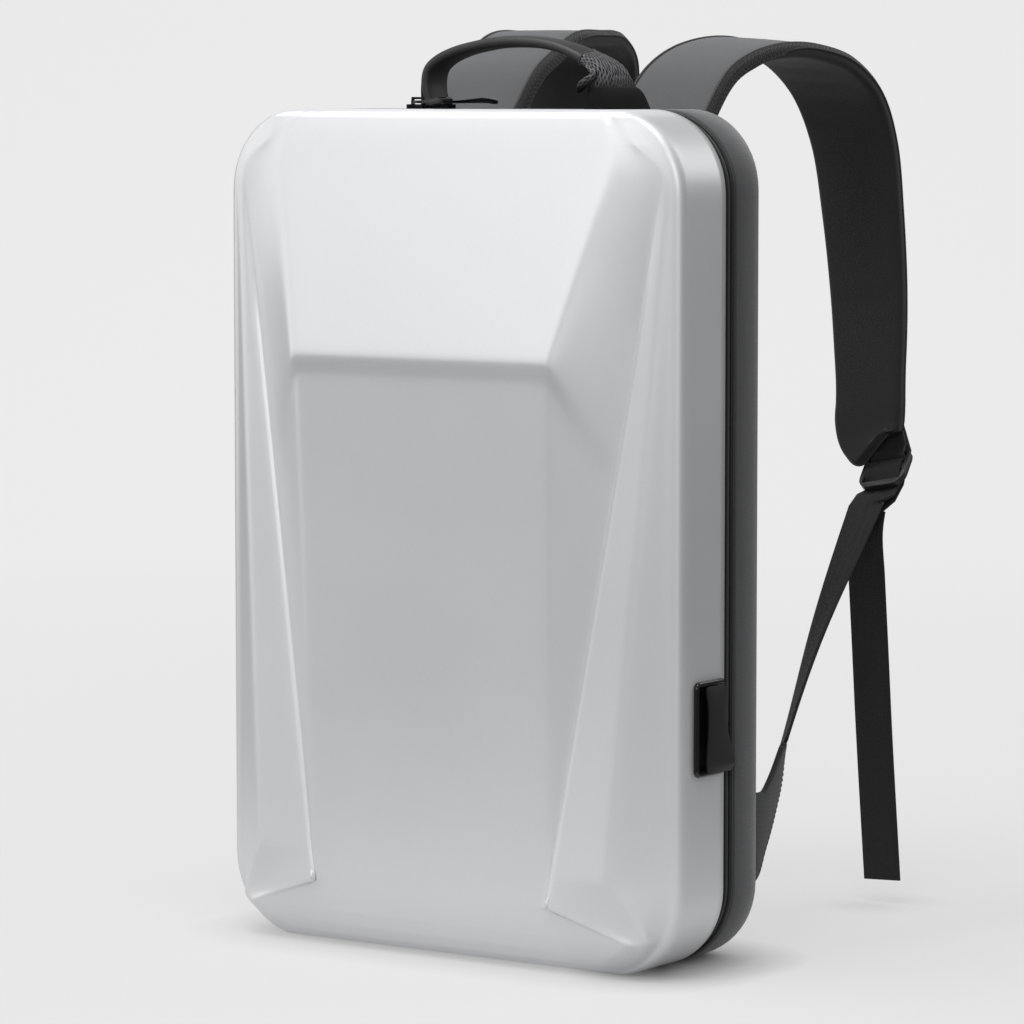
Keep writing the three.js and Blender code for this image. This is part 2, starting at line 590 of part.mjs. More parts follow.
// Padded shoulder strap with its grey face
const edgeAt = (points, t) => smoothCurve(points).getPoint(t);
const strapSteps = Array.from({ length: STRAP_CURVE_STEPS + 1 }, (_, i) => i / STRAP_CURVE_STEPS);
function strapBodies(rows) {
  const innerEdge = rows.map((p) => vec(p.inX, p.y, p.inZ));
  const outerEdge = rows.map((p) => vec(p.outX, p.y, p.outZ));
  const padEdge = (points) => strapSteps.map((t) => edgeAt(points, t));
  const step = 1 / STRAP_CURVE_STEPS;
  const facingSteps = strapSteps.slice(FACING_SPAN.from, FACING_SPAN.to + 1);
  const facingEdge = (fromPoints, toPoints) => facingSteps.map((t) => {
    const here = edgeAt(fromPoints, t);
    const across = edgeAt(toPoints, t).sub(here).normalize();
    const along = edgeAt(fromPoints, t + step).sub(edgeAt(fromPoints, t - step)).normalize();
    const outward = vec().crossVectors(vec(1, 0, 0), along).normalize();
    return here.addScaledVector(across, FACING_MARGIN)
      .addScaledVector(outward, STRAP_THICK / 2 + GAP + FACING_THICK / 2);
  });
  return {
    pad: stripBody(padEdge(innerEdge), padEdge(outerEdge), STRAP_THICK, STRAP_CHAMFER),
    facing: stripBody(facingEdge(innerEdge, outerEdge), facingEdge(outerEdge, innerEdge), FACING_THICK),
  };
}
const leftRows = STRAP_EDGES.map((row, i) => {
  const bent = LEFT_SUMMIT[i];
  return bent ? { ...row, y: bent.y, inZ: bent.z, outZ: bent.z } : row;
});
const straps = { right: strapBodies(STRAP_EDGES), left: strapBodies(leftRows) };
for (const [side, { pad, facing }] of Object.entries(straps)) {
  const turn = side === 'left' ? mirrored : (body) => body;
  addPiece(`strap_pad_${side}`, turn(pad), COLOURS.black, 0, 0.9);
  addPiece(`strap_facing_${side}`, turn(facing), COLOURS.grey, 0, 0.8);
}

// Ladder lock, in its own directions: along its bars, up and towards the bag
const barDirection = vec(Math.cos(radians(LOCK_BAR_TILT)), 0, Math.sin(radians(LOCK_BAR_TILT)));
const lockUp = LOCK_DOWN.clone().negate();
lockUp.addScaledVector(barDirection, -lockUp.dot(barDirection)).normalize();
const lockToBag = vec().crossVectors(barDirection, lockUp);
const lockPlace = new THREE.Matrix4().makeBasis(barDirection, lockUp, lockToBag).setPosition(LOCK_AT);
const inLock = (bar, up, toBag) => vec(bar, up, toBag).applyMatrix4(lockPlace);
const lockShape = plateShape(LOCK.wide, LOCK.high, LOCK.corner);
LOCK_SLOTS.forEach(({ from, to }) => {
  const side = LOCK.slotWide / 2;
  const corners = [[-side, from], [side, from], [side, to], [-side, to]];
  lockShape.holes.push(new THREE.Path(corners.map(([bar, up]) => new THREE.Vector2(bar, up))));
});
const lockPlate = new THREE.ExtrudeGeometry(lockShape, { depth: LOCK.thick, bevelEnabled: false })
  .translate(0, 0, -LOCK.thick / 2).applyMatrix4(lockPlace);
const withIndex = (geometry) => fromManifold(toManifold(geometry));
addPair('ladder_lock', withIndex(lockPlate), COLOURS.black, 0, 0.4);

// Half turn of webbing round a bar of the lock, from one face to the other
function halfTurn(centreUp, overTop) {
  return Array.from({ length: WRAP_STEPS + 1 }, (_, i) => {
    const angle = (Math.PI * i) / WRAP_STEPS;
    const up = WRAP_R * Math.sin(angle) * (overTop ? 1 : -1);
    return inLock(0, centreUp + up, WRAP_R * Math.cos(angle));
  });
}
const topBar = LOCK_SLOTS[0].to;
const loopUp = LOCK.high / 2 + LOOP_OVER;
function loopEnd(apart) {
  const end = vec(LOCK_AT.x, LOOP_END.y + apart, LOOP_END.z);
  return end.addScaledVector(barDirection, -end.clone().sub(LOCK_AT).dot(barDirection));
}
const loopLine = [
  loopEnd(0), inLock(0, loopUp, WRAP_R),
  ...halfTurn(topBar, false),
  inLock(0, loopUp, -WRAP_R), loopEnd(LOOP_END.apart),
];
const loop = ribbon(loopLine, loopLine.map(() => LOOP_WIDE), loopLine.map(() => barDirection), WEB_THICK);
addPair('buckle_loop', loop, COLOURS.webbing, 0, 0.9);

// Lower webbing: from the corner tab up to the lock, round its middle bar and down as the free tail
const midBar = LOCK_SLOTS[0].from;
const below = -LOCK.high / 2 - LOCK_LEAD.free;
const flatTo = -LOCK.high / 2 - LOCK_LEAD.flat;
const tipWidth = GUSSET_TIP_WIDTH.clone().normalize();
const lockEntry = inLock(0, below, WRAP_R);
const anchorStart = GUSSET_TIP.clone();
const anchorMid = anchorStart.clone().lerp(lockEntry, ANCHOR_SAG.at).add(vec(0, ANCHOR_SAG.y, ANCHOR_SAG.z));
const anchorLine = smoothLine([anchorStart, anchorMid, lockEntry], ANCHOR_STEPS);
const tailPoints = TAIL_LINE.map(({ x, y, z }) => vec(x, y, z));
const tailLine = smoothLine([inLock(LOCK_LEAD.aside, below, -WRAP_R), ...tailPoints], TAIL_STEPS);
const webLine = [
  ...anchorLine, inLock(0, flatTo, WRAP_R),
  ...halfTurn(midBar, true),
  inLock(0, flatTo, -WRAP_R), ...tailLine,
];
const webDirections = webLine.map((_, i) => {
  const t = Math.min(1, i / (anchorLine.length - 2));
  return tipWidth.clone().lerp(barDirection, t ** ANCHOR_TWIST).normalize();
});
const webbing = ribbon(webLine, webLine.map(() => WEB_WIDE), webDirections, WEB_THICK);
addPair('strap_webbing', webbing, COLOURS.webbing, 0, 0.9);

// Folded corner tab that the webbing is sewn into
const tabDirection = anchorLine[1].clone().sub(anchorLine[0]).normalize();
const tabEnd = GUSSET_TIP.clone().addScaledVector(tabDirection, -GAP);
const tabWidth = tipWidth.clone().addScaledVector(tabDirection, -tipWidth.dot(tabDirection)).normalize();
const tabMid = (height, sign) => vec(TAB_BASE.x, TAB_BASE.y, height)
  .lerp(tabEnd.clone().addScaledVector(tabWidth, (sign * WEB_WIDE) / 2), TAB_BEND);
const tabLower = [vec(TAB_BASE.x, TAB_BASE.y, TAB_BASE.low), tabMid(TAB_BASE.low, -1),
  tabEnd.clone().addScaledVector(tabWidth, -WEB_WIDE / 2)];
const tabUpper = [vec(TAB_BASE.x, TAB_BASE.y, TAB_BASE.high), tabMid(TAB_BASE.high, 1),
  tabEnd.clone().addScaledVector(tabWidth, WEB_WIDE / 2)];
addPair('strap_gusset', cut(stripBody(tabLower, tabUpper, TAB_SHEET),
  trayBody(-GAP, TRAY_FRONT_Y, TRAY_BACK_Y + GAP)), COLOURS.fabric, 0, 0.9);

export default group;
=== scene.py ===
"""Laptop backpack with a hard faceted front shell, a soft fabric back and padded shoulder straps.

Laid out as an add-on: each operator dresses one piece, or a group of like pieces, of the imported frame.
"""
import math

import bmesh
import bpy
import numpy as np
from bpy.props import FloatProperty, FloatVectorProperty, PointerProperty
from mathutils import Matrix, Vector


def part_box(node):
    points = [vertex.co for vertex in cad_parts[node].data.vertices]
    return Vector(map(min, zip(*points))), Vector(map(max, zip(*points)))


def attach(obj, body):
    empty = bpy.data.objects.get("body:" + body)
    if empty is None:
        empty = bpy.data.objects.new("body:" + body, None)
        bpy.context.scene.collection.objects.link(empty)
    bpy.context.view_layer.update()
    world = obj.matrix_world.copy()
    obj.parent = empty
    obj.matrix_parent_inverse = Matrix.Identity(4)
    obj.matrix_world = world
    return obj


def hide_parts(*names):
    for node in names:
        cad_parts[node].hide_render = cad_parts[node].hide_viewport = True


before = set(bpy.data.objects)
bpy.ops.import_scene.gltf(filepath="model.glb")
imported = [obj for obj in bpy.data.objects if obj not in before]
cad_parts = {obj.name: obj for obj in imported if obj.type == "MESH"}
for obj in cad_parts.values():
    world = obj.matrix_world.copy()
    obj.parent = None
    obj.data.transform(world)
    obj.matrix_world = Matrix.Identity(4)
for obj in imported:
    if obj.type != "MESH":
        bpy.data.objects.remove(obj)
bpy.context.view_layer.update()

bl_info = {
    "name": "Laptop Backpack",
    "version": (1, 0, 0),
    "blender": (4, 5, 0),
    "location": "View3D > Sidebar > Backpack",
    "description": "Dresses the frame of a hard-front laptop backpack",
    "category": "Object",
}

# Sizes below are in millimetres. X runs to the right, Y to the back, Z up.
MM = 0.001


def box_mm(node_name):
    """Lowest and highest corner of a node of the frame."""
    low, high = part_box(node_name)
    return np.array(low) / MM, np.array(high) / MM


SHELL_HIGH = box_mm("front_shell")[1]
TRAY_LOW, TRAY_HIGH = box_mm("back_panel")
TAPE_LOW, TAPE_HIGH = box_mm("zip_tape")
PIPING_LOW, PIPING_HIGH = box_mm("back_piping")
PORT_LOW, PORT_HIGH = box_mm("usb_frame")

# Whole bag
HALF_WIDTH = SHELL_HIGH[0]
HEIGHT = SHELL_HIGH[2]
CORNER_R = 45.0
CORNER_STEPS = 14
EDGE_SPACING = 9.0
BEVEL_STEPS = 3

# Front shell
FRONT_Y = -24.0
SHELL_BACK_Y = SHELL_HIGH[1]
SHELL_WALL = 2.5
RIM_FILLET = 6.0
RIM_OUT = 0.6
RIM_TURNS = np.radians(np.linspace(0, 90, 9))
SIDE_STEPS = 8
CREASE_APART = 1.4
FIN_STEP = 3.0
FIN_STEP_RUN = 1.6
FIN_FOOT_APART = 0.6
FIN_TOP_Z = 428.0
FIN_RISE = {"top": 60.0, "tip": 24.0, "below": 2.0}
PLAIN_SIDE = ((0.55, 0.3), (0.76, 0.55), (0.9, 0.8))   # without a fin: share of the width, share of the fall

# Creases of the centre panel from the floor up: height on the centre line, height at the fins, half width,
# how far it stands out, fine rows up to the next crease and how softly the crease is rounded
PANEL_COLUMNS = ("z_mid", "z_side", "half", "out", "steps", "soft")
PANEL_ROWS = (
    (0, 0, 84, -4, 5, 0.2),
    (2, 2, 83, 4, 5, 0.6),
    (6, 6, 82, 9.5, 5, 1.0),
    (12, 12, 81, 13.5, 6, 1.6),
    (20, 20, 80, 16, 6, 1.6),
    (28, 28, 79, 17.4, 6, 1.2),
    (36, 36, 76.4, 18.2, 9, 1.2),
    (53, 53, 79.5, 19, 9, 2.0),
    (90, 90, 80.5, 20.2, 11, 4.0),
    (160, 150, 81, 22.4, 11, 5.0),
    (240, 215, 81.5, 24.6, 18, 5.0),
    (317, 262, 82.9, 27.9, 10, 2.0),
    (327, 274, 84.9, 30, 16, 2.2),
    (368, 345, 94.8, 21.2, 11, 5.0),
    (410, 405, 104.7, 12.2, 10, 5.0),
    (430, 428, 109.5, 7.8, 8, 3.0),
    (442, 441, 107, 5.2, 8, 2.0),
    (450, 450, 104, 3.2, 7, 1.6),
    (456, 456, 100, 0.8, 5, 1.0),
    (458.6, 458.6, 97, -1.8, 5, 0.6),
    (460, 460, 93, -6, 0, 0.2),
)
# Corners of the right fin: x, how far it stands out, z
FIN_CREST_TOP = (141.4, 2.2, FIN_TOP_Z)
FIN_CREST_TIP = (78.0, 21.6, 36.0)
FIN_SHOULDER_TOP = (143.6, 1.2, FIN_TOP_Z)
FIN_SHOULDER_BEND = (115.0, 21.2, 53.0)
FIN_CORNER = (138.0, 8.0, 20.0)
FIN_CHIN = (126.0, 14.0, 20.0)
# Fine columns between the creases from the centre line to the rim, and the rounding at each crease
COLUMN_STEPS = (18, 10, 5, 14, 9)
COLUMN_SOFT = (4.0, 3.4, 1.8, 2.2, 2.6, 2.0)
RIM_SOFT = 0.8
FACET_SOFT = 3.0                # how much softer the creases are on the facets beside the panel

# Zip between the halves
ZIP_Y = (TAPE_LOW[1] + TAPE_HIGH[1]) / 2
TAPE_PROFILE = (                # across the tape: distance from its middle, depth under the bag's outline
    (-4.0, 3.4), (-3.9, 2.4), (-3.4, 2.0), (-1.2, 1.8), (-0.5, 2.0), (-0.2, 2.7), (0.2, 2.7), (0.5, 2.0),
    (1.2, 1.8), (3.4, 2.0), (3.9, 2.4), (4.0, 3.4), (4.0, 4.2), (-4.0, 4.2),
)
COIL_ROWS = (-0.85, 0.85)       # middle of each row of the coil, from the middle of the tape
COIL_DEPTH = 4.6                # the coil lies on the inside of the tape
COIL_PATH = (24, 3.0)           # steps round a corner, point spacing
COIL_TOOTH = (0.95, 2.5, 1.1)   # along the zip, across it, high
PIPING_R = 1.45
PIPING_SIDES = 10

# Fabric back
TRAY_FRONT_Y = TRAY_LOW[1]
TRAY_BACK_Y = TRAY_HIGH[1]
TRAY_SIDE_R = 30.0
TRAY_END_R = 12.0
TRAY_CORNER_SHARE = 0.4
TRAY_RINGS = 18
TRAY_WALL = 3.0
TRAY_HEM = ((-0.2, 1.2), (0.0, 0.5), (0.8, 0.0))   # front edge: step back, inset
TRAY_BEND_START = 0.08          # share of its side's rounding where the even rings begin
TRAY_COUNTS = (23, 41)          # parts along its level and upright sides
BACK_INSETS = 16
BACK_CROWN = 3.0
BACK_SPINE = 0.78               # where its middle line ends, as a share of half the width

# Carry handle
HANDLE_Y = 46.6
HANDLE_THICK = 4.4
HANDLE_ROUND = 2.15
HANDLE_CROWN = 0.5
HANDLE_STEPS = 120
GUSSET_STEPS = 60
FOLD_STEPS = 40
HANDLE_LINE = (                 # leather grip from its left foot to its right end: x, z, width
    (-57.8, 461.2, 19), (-59.6, 467, 20), (-60.6, 475, 21), (-58.8, 481.8, 21), (-53, 486.8, 20.5),
    (-41.5, 491.5, 20), (-29.5, 494.2, 20), (-15, 496.3, 20), (0, 496.8, 20), (15, 495.9, 20),
    (29, 493.2, 21), (38, 490.2, 22), (45, 487.2, 23),
)
GUSSET_LINES = {                # mesh at the grip's ends: x, z, width, thickness
    "right": (
        (45.5, 487, 23.6, 6.2), (52.5, 484, 25, 6.4), (56.6, 480.6, 27, 7.6), (57.8, 475.6, 29.5, 13),
        (58.6, 469.5, 31.5, 20), (60.4, 463, 32, 27), (61.4, 457, 32, 31),
    ),
    "left": (
        (-54.6, 486.6, 16, 1.6), (-59.6, 482.4, 18, 2), (-61.8, 475.5, 19, 2.2), (-62.2, 468, 19, 2.4),
        (-61.6, 458, 18, 2.6),
    ),
}
SLEEVE_SKEW = 7.0               # how much further the sleeve reaches over the grip at its back
SLEEVE_FADE = 16.0              # length over which that fades out
MESH_FADE = (471.0, 480.0)      # heights over which the painted shade at the mesh's foot fades out
KNIT_TURN = 0.6                 # radians that the knit lies aslant
CUFF_R = 0.45
FOLD_LINE = (                   # rolled fold of mesh at the sleeve's front: x, y, z, radius
    (49.5, 34.5, 483.6, 0.8), (54, 32.6, 481.4, 1.5), (57.2, 31.6, 479.4, 1.9), (55, 31.2, 476.8, 2.1),
    (51.6, 31.4, 474.8, 2.4), (48, 32, 472.2, 2.5), (45.6, 33.4, 469.6, 1.4),
)

# Port on the right side
PORT_CORNER = 4.0
PORT_DROP = 5.0                 # how much further down the frame reaches than its plain solid
PORT_LEVELS = (                 # frame from its base: inset, height
    (0.0, 0.0), (0.0, 1.4), (0.25, 1.9), (0.8, 2.2), (1.9, 2.2), (2.3, 2.0), (2.5, 1.0), (2.9, 0.9),
)
COVER_ROWS = (                  # rubber cover: z, front edge, rear edge, lift in front, lift at the rear, bow
    (110.4, -4, 14.5, 0.2, 2.2, 0.3),
    (114.4, -4.8, 17, 0.3, 3.4, 0.8),
    (121, -4.6, 16, 0.4, 2.4, 1.2),
    (132, -3.6, 13.6, 0.6, 0.9, 1.4),
    (145, -3.6, 13.4, 0.5, 0.4, 1.3),
    (152.6, -4.8, 13.6, 0.2, 0.2, 0.8),
    (155, -4.4, 12.4, 0.1, 0.1, 0.5),
    (156, -3.2, 10, 0.1, 0.1, 0.3),
)
COVER_THICK = 1.6
COVER_LIFT = 0.3
COVER_STEPS = (36, 14)          # along the cover, across it

# Shoulder straps: the right one's edges from the back panel over to its lower end
STRAP_THICK = 8.0
STRAP_ROUND = 3.2
STRAP_STEPS = 150
STRAP_END = 0.965               # from here on the strap thins out to its sewn end
STRAP_EDGES = (                 # inner x, outer x, y, inner z, outer z
    (35, 95, 76.6, 404, 404),
    (35, 95, 77, 422, 422),
    (34.5, 94.5, 83, 441, 441),
    (34, 94, 97, 461, 461),
    (35, 95, 114, 478, 478),
    (37, 97.5, 135, 488.8, 487.2),
    (41, 101, 162, 495, 491.6),
    (45.5, 104.5, 190, 495, 490.4),
    (49.5, 108.5, 219, 486.8, 483),
    (54, 112, 242, 468, 466),
    (58.5, 113.5, 255, 440, 440),
    (62.5, 114.5, 261, 400, 400),
    (67.5, 116, 263, 352, 352),
    (72.6, 117, 260, 310, 316),
    (76.4, 116, 258, 280, 300),
    (78.4, 113.6, 257.4, 264.5, 291.5),
    (81.8, 111.4, 256.8, 256.4, 285.5),
    (87.6, 109, 256, 252.2, 280.5),
    (95.5, 106.4, 255, 251.4, 275.6),
)
LEFT_SUMMIT = {                 # rows of that table where the left strap is bent more sharply: y, z
    6: (162, 498.4), 7: (192, 499.6), 8: (219, 498.2), 9: (238.4, 488), 10: (248.6, 464),
}
LEFT_TURN = {                   # rows where the left strap's outer edge is turned to the bag: x and y added
    3: (5, 0), 4: (6, 0), 5: (5, 0), 6: (3, 0), 7: (2, -1), 8: (3, -4), 9: (7, -9), 10: (12, -16),
    11: (8.5, -11), 12: (5, -6), 13: (2, -2),
}
FACING_SPAN = (2 / 18, 13.5 / 18)
FACING_MARGIN = 3.0
FACING_THICK = 1.6
BAND_THICK = 0.9
BAND_POINTS = 11                # points across the band
BAND_TURN = 70                  # degrees that the edging band reaches round the outer face's corner
BAND_REACH = ((0.27, 38), (0.37, -25), (0.8, -25), (0.93, -66))   # share of the strap, degrees past its edge
BAND_END = 140                  # last step of the strap that has a band
STRAP_CORD_R = 1.1
STRAP_HEM_R = 0.6
CORD_TAPER = 25                 # steps over which the hem runs out
PAD_FLAT = 9                    # points across each flat side of the pad
PUFF_STEPS = 20
PUFF_PRESSURE = 4.0
PUFF_LIMIT = 1.3                # most that the pad may swell

# Ladder lock and webbing of the right strap
LOCK_AT = (107.0, 258.7, 252.4)
LOCK_BAR_TILT = math.radians(10.4)
LOCK_DOWN = (0.127, -0.711, -0.692)
LOCK_HIGH = 28.0
LOCK_THICK = 4.0
LOCK_BARS = (1.5, 10.0)         # height of the bars that the webbing and the loop turn round
LOCK_LEAD = (1.0, 7.0)          # below the lock: where the webbing is still flat, where it bends
LOCK_SLOT = (-9.4, -4.0)        # heights between which the webbing comes through the lower slot
EXIT_ASIDE = (-6.0, -8.0)       # below the lock: how far the webbing and its tail have shifted along the bars
WEB_WIDE = 24.0
WEB_THICK = 1.6
WRAP_R = LOCK_THICK / 2 + 0.3 + WEB_THICK / 2
WRAP_STEPS = 10
WEB_SPACING = 4.0               # between rings along the free webbing
LOOP_WIDE = 22.0
LOOP_OVER = 1.0
LOOP_END = (263.6, 284.0, 2.2)  # y and z of the loop's sewn end, distance between its two legs
TAIL_LINE = (
    (102.4, 243, 215), (102.8, 245, 190), (103.6, 247.4, 155), (104.8, 251, 100), (108.3, 255.5, 13.8),
)
GUSSET_TIP = (125.0, 117.4, 106.8)
GUSSET_TIP_WIDTH = (0.571, -0.816, 0.088)
ANCHOR_SAG = (0.0, -8.0, -4.0)
ANCHOR_TWIST = 1.6
TAB_LOWER = (                   # lower and upper edge of the corner tab from inside the fabric to the webbing
    (135, 46, 38), (137.6, 62, 39.5), (136, 74.3, 49), (133, 87.3, 60), (129, 100.8, 71.6),
    (123.5, 116.9, 87), (119.5, 125.6, 99), (118.1, 127.2, 105.7),
)
TAB_UPPER = (
    (139, 52, 94), (139, 61, 93), (138.2, 70, 91.5), (136.5, 80.4, 91), (134.5, 89.7, 96), (133, 98.3, 102),
    (132, 105, 106.6), (131.9, 107.6, 107.9),
)
TAB_SHEET = 3.0
TAB_STEPS = 42
TAB_SEAM_IN = 3.0               # seam from the lower edge

# Camera that stands where the photo was taken from
IMAGE_SIZE = 1024
FOCAL_PIXELS = 4790.0
SENSOR = 36.0
CAMERA_AT = (1510.0, -2121.0, 471.0)
CAMERA_TURN = math.radians(35)
CAMERA_DOWN = math.radians(5.05)

# Studio: brightness of the paper by itself, its own grey, light from the room, and the soft boxes
PAPER_GLOW = (0.59, 0.73)       # on the floor by the bag, far behind it
PAPER = (0.15, 0.15, 0.15)
CONTACT_SHADOW = (0.35, 1.0)    # before the bag, behind its right side
SHADOW_SPAN = (0.05, 0.1)       # metres across the view between those two
SHADOW_REACH = 0.042            # metres from the bag
GLOW_FAR = (0.2, 2.2)           # metres behind the bag between the two glows
GLOW_SIDE = (0.31, 0.48)        # metres beside the view's middle over which the glow ends
GLOW_FRONT = (-0.42, -0.24)     # metres before the bag over which it begins
VIEW_SPREAD = 0.107             # how much wider the view gets with each metre
SWEEP_LINE = (-4.0, 2.2, 1.4, 4.0)   # metres: front edge, start and radius of the bend, top edge
SWEEP_HALF = 6.0
ROOM_LIGHT = 0.31
LIGHTS = (                      # name, place and aim in metres, side lengths, power
    ("top_box", (-0.2, -0.5, 2.2), (0, 0, 0.2), (1.7, 1.2), 48),
    ("front_box", (-0.9, -2.3, 1.3), (0, 0, 0.3), (1.4, 1.0), 13),
    ("left_box", (-2.4, -0.8, 0.7), (0, 0, 0.25), (1.8, 1.8), 15),
    ("right_box", (1.5, -2.2, 1.2), (0, 0, 0.25), (1.0, 1.0), 20),
    ("back_box", (1.3, 1.9, 1.5), (0, 0.1, 0.35), (1.0, 1.4), 12),
)


def linear(hex_text):
    """Linear colour of an sRGB hex value."""
    parts = [int(hex_text[i:i + 2], 16) / 255 for i in (1, 3, 5)]
    return tuple(p / 12.92 if p <= 0.04045 else ((p + 0.055) / 1.055) ** 2.4 for p in parts)


def colour_property(name, hex_text, description):
    """Colour setting shown in the panel."""
    return FloatVectorProperty(
        name=name, description=description, subtype="COLOR", size=3, min=0, max=1, default=linear(hex_text))


def length_property(name, millimetres, description):
    """Length setting shown in the panel."""
    return FloatProperty(
        name=name, description=description, unit="LENGTH", min=0, precision=5, default=millimetres * MM)


class BagSizes(bpy.types.PropertyGroup):
    """Small sizes of the finish."""
    coil_pitch: length_property("Coil pitch", 1.5, "Distance between two turns of the zip's coil")
    stitch_long: length_property("Stitch length", 2.6, "Length of a sewn stitch")
    stitch_pitch: length_property("Stitch pitch", 3.6, "Distance between two stitches")
    stitch_thick: length_property("Thread thickness", 0.55, "Thickness of the sewing thread")
    thread: length_property("Cloth thread", 1.1, "Thread spacing of the woven cloth")
    web_rib: length_property("Webbing rib", 1.6, "Rib spacing of the strap webbing")
    knit: length_property("Mesh knit", 1.9, "Cell size of the knitted mesh")


class BagColours(bpy.types.PropertyGroup):
    """Colours of the finish."""
    shell: colour_property("Shell", "#cecfd1", "Silver of the moulded shell")
    back: colour_property("Back fabric", "#3f4042", "Dark grey of the fabric back")
    zip: colour_property("Zip", "#161617", "Black of the zip tape, coil and piping")
    metal: colour_property("Zip metal", "#121213", "Black of the plated sliders and pulls")
    leather: colour_property("Leather", "#1d1d1e", "Black of the wrapped handle")
    mesh: colour_property("Mesh", "#29292a", "Black of the knitted mesh")
    strap: colour_property("Strap", "#1e1e1f", "Black of the padded straps")
    facing: colour_property("Strap face", "#4c4d4f", "Grey of the straps' outer face")
    webbing: colour_property("Webbing", "#1b1b1c", "Black of the webbing")
    buckle: colour_property("Buckle", "#232324", "Black of the adjusters")
    port: colour_property("Port", "#0b0b0c", "Gloss black of the port frame")
    rubber: colour_property("Rubber", "#0d0d0e", "Black of the port's cover")


# Small helpers for meshes
def spread(steps, to_end=False):
    """Shares from 0 to 1 that crowd towards both ends, or only towards the last."""
    t = np.linspace(0, 1, steps + 1)
    return np.sin(t * math.pi / 2) if to_end else (1 - np.cos(t * math.pi)) / 2


def unit(vectors):
    """Vectors of length one."""
    vectors = np.asarray(vectors, float)
    return vectors / np.linalg.norm(vectors, axis=-1, keepdims=True)


def path_lengths(line):
    """Distance along a line at each of its points."""
    steps = np.linalg.norm(np.diff(line, axis=0), axis=1)
    return np.concatenate([[0], np.cumsum(steps)])


def smooth_line(points, steps):
    """Centripetal curve through points, with the same number of steps between each two."""
    points = np.asarray(points, float)
    held = np.vstack([2 * points[0] - points[1], points, 2 * points[-1] - points[-2]])
    curve = []
    for t in np.linspace(0, len(points) - 1, steps + 1):
        i = min(int(t), len(points) - 2)
        f = t - i
        before, here, there, after = held[i:i + 4]
        d0, d1, d2 = np.linalg.norm((here - before, there - here, after - there), axis=1) ** 0.5
        leave = ((here - before) / d0 - (there - before) / (d0 + d1) + (there - here) / d1) * d1
        arrive = ((there - here) / d1 - (after - here) / (d1 + d2) + (after - there) / d2) * d1
        curve.append(here + leave * f + (3 * (there - here) - 2 * leave - arrive) * f ** 2
                     + (2 * (here - there) + leave + arrive) * f ** 3)
    return np.array(curve)


def even_line(line, spacing):
    """The same line with points at an even distance."""
    along = path_lengths(line)
    count = max(2, round(along[-1] / spacing)) + 1
    at = np.linspace(0, along[-1], count)
    return np.stack([np.interp(at, along, line[:, k]) for k in range(line.shape[1])], axis=1)


def soften(rows, sigma):
    """Round each row of points by a bell-shaped mean along its length; sigma is one length per point."""
    done = rows.copy()
    for r, row in enumerate(rows):
        along = path_lengths(row)
        weight = np.gradient(along)
        bell = np.exp(-0.5 * ((along[:, None] - along[None, :]) / sigma[r][:, None]) ** 2) * weight[None, :]
        done[r] = (bell / bell.sum(1, keepdims=True)) @ row
    done[:, 0], done[:, -1] = rows[:, 0], rows[:, -1]
    return done


def grid_faces(rows, cols, wrap=False, start=0):
    """Quads of a grid of points that is numbered row by row."""
    faces = []
    for r in range(rows - 1):
        for c in range(cols if wrap else cols - 1):
            d = (c + 1) % cols
            faces.append((start + r * cols + c, start + r * cols + d,
                          start + (r + 1) * cols + d, start + (r + 1) * cols + c))
    return faces


def add_object(name, data):
    """Object in the scene."""
    made = bpy.data.objects.new(name, data)
    bpy.context.scene.collection.objects.link(made)
    return made


def make_piece(name, points, faces, finish, stands_for=None, cloth=None):
    """Mesh piece of the bag. cloth gives each corner of each face its place on the flat cloth, in metres."""
    mesh = bpy.data.meshes.new(name)
    mesh.from_pydata([tuple(p) for p in np.asarray(points, float) * MM], [], [tuple(f) for f in faces])
    if cloth is not None:
        layer = mesh.uv_layers.new(name="cloth")
        layer.data.foreach_set("uv", np.asarray(cloth, np.float32).ravel())
    return finish_piece(name, mesh, finish, stands_for)


def finish_piece(name, mesh, finish, stands_for=None, body="bag"):
    """Object of a finished mesh that rides on its body and may stand for a node of the frame."""
    mesh.name = name
    if not mesh.materials:
        mesh.materials.append(MATERIALS[finish])
    mesh.polygons.foreach_set("use_smooth", np.ones(len(mesh.polygons), bool))
    mesh.update()
    piece = add_object(name, mesh)
    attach(piece, body)
    if stands_for:
        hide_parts(stands_for)
    return piece


def add_wall(piece, thickness, offset=-1):
    """Give a sheet its thickness: inward for an offset of -1, to both sides for 0, outward for 1."""
    wall = piece.modifiers.new("Wall", "SOLIDIFY")
    wall.thickness, wall.offset = thickness * MM, offset


def round_edges(piece, width, angle):
    """Round the edges that turn by more than an angle in degrees."""
    bevel = piece.modifiers.new("Rounded edges", "BEVEL")
    bevel.width, bevel.segments = width * MM, BEVEL_STEPS
    bevel.limit_method, bevel.angle_limit = "ANGLE", math.radians(angle)


def turned_outward(points, faces):
    """The faces, turned over if they enclose a negative volume."""
    points = np.asarray(points, float)
    volume = 0.0
    for face in faces:
        a = points[face[0]]
        for b, c in zip(face[1:], face[2:]):
            volume += np.dot(a, np.cross(points[b], points[c]))
    return faces if volume > 0 else [tuple(reversed(f)) for f in faces]


def skin(rings):
    """Points and faces of a closed body through rings of equally many points, ends closed."""
    count, size, _ = rings.shape
    faces = grid_faces(count, size, wrap=True)
    faces.append(tuple(reversed(range(size))))
    faces.append(tuple((count - 1) * size + i for i in range(size)))
    points = rings.reshape(-1, 3)
    return points, turned_outward(points, faces)


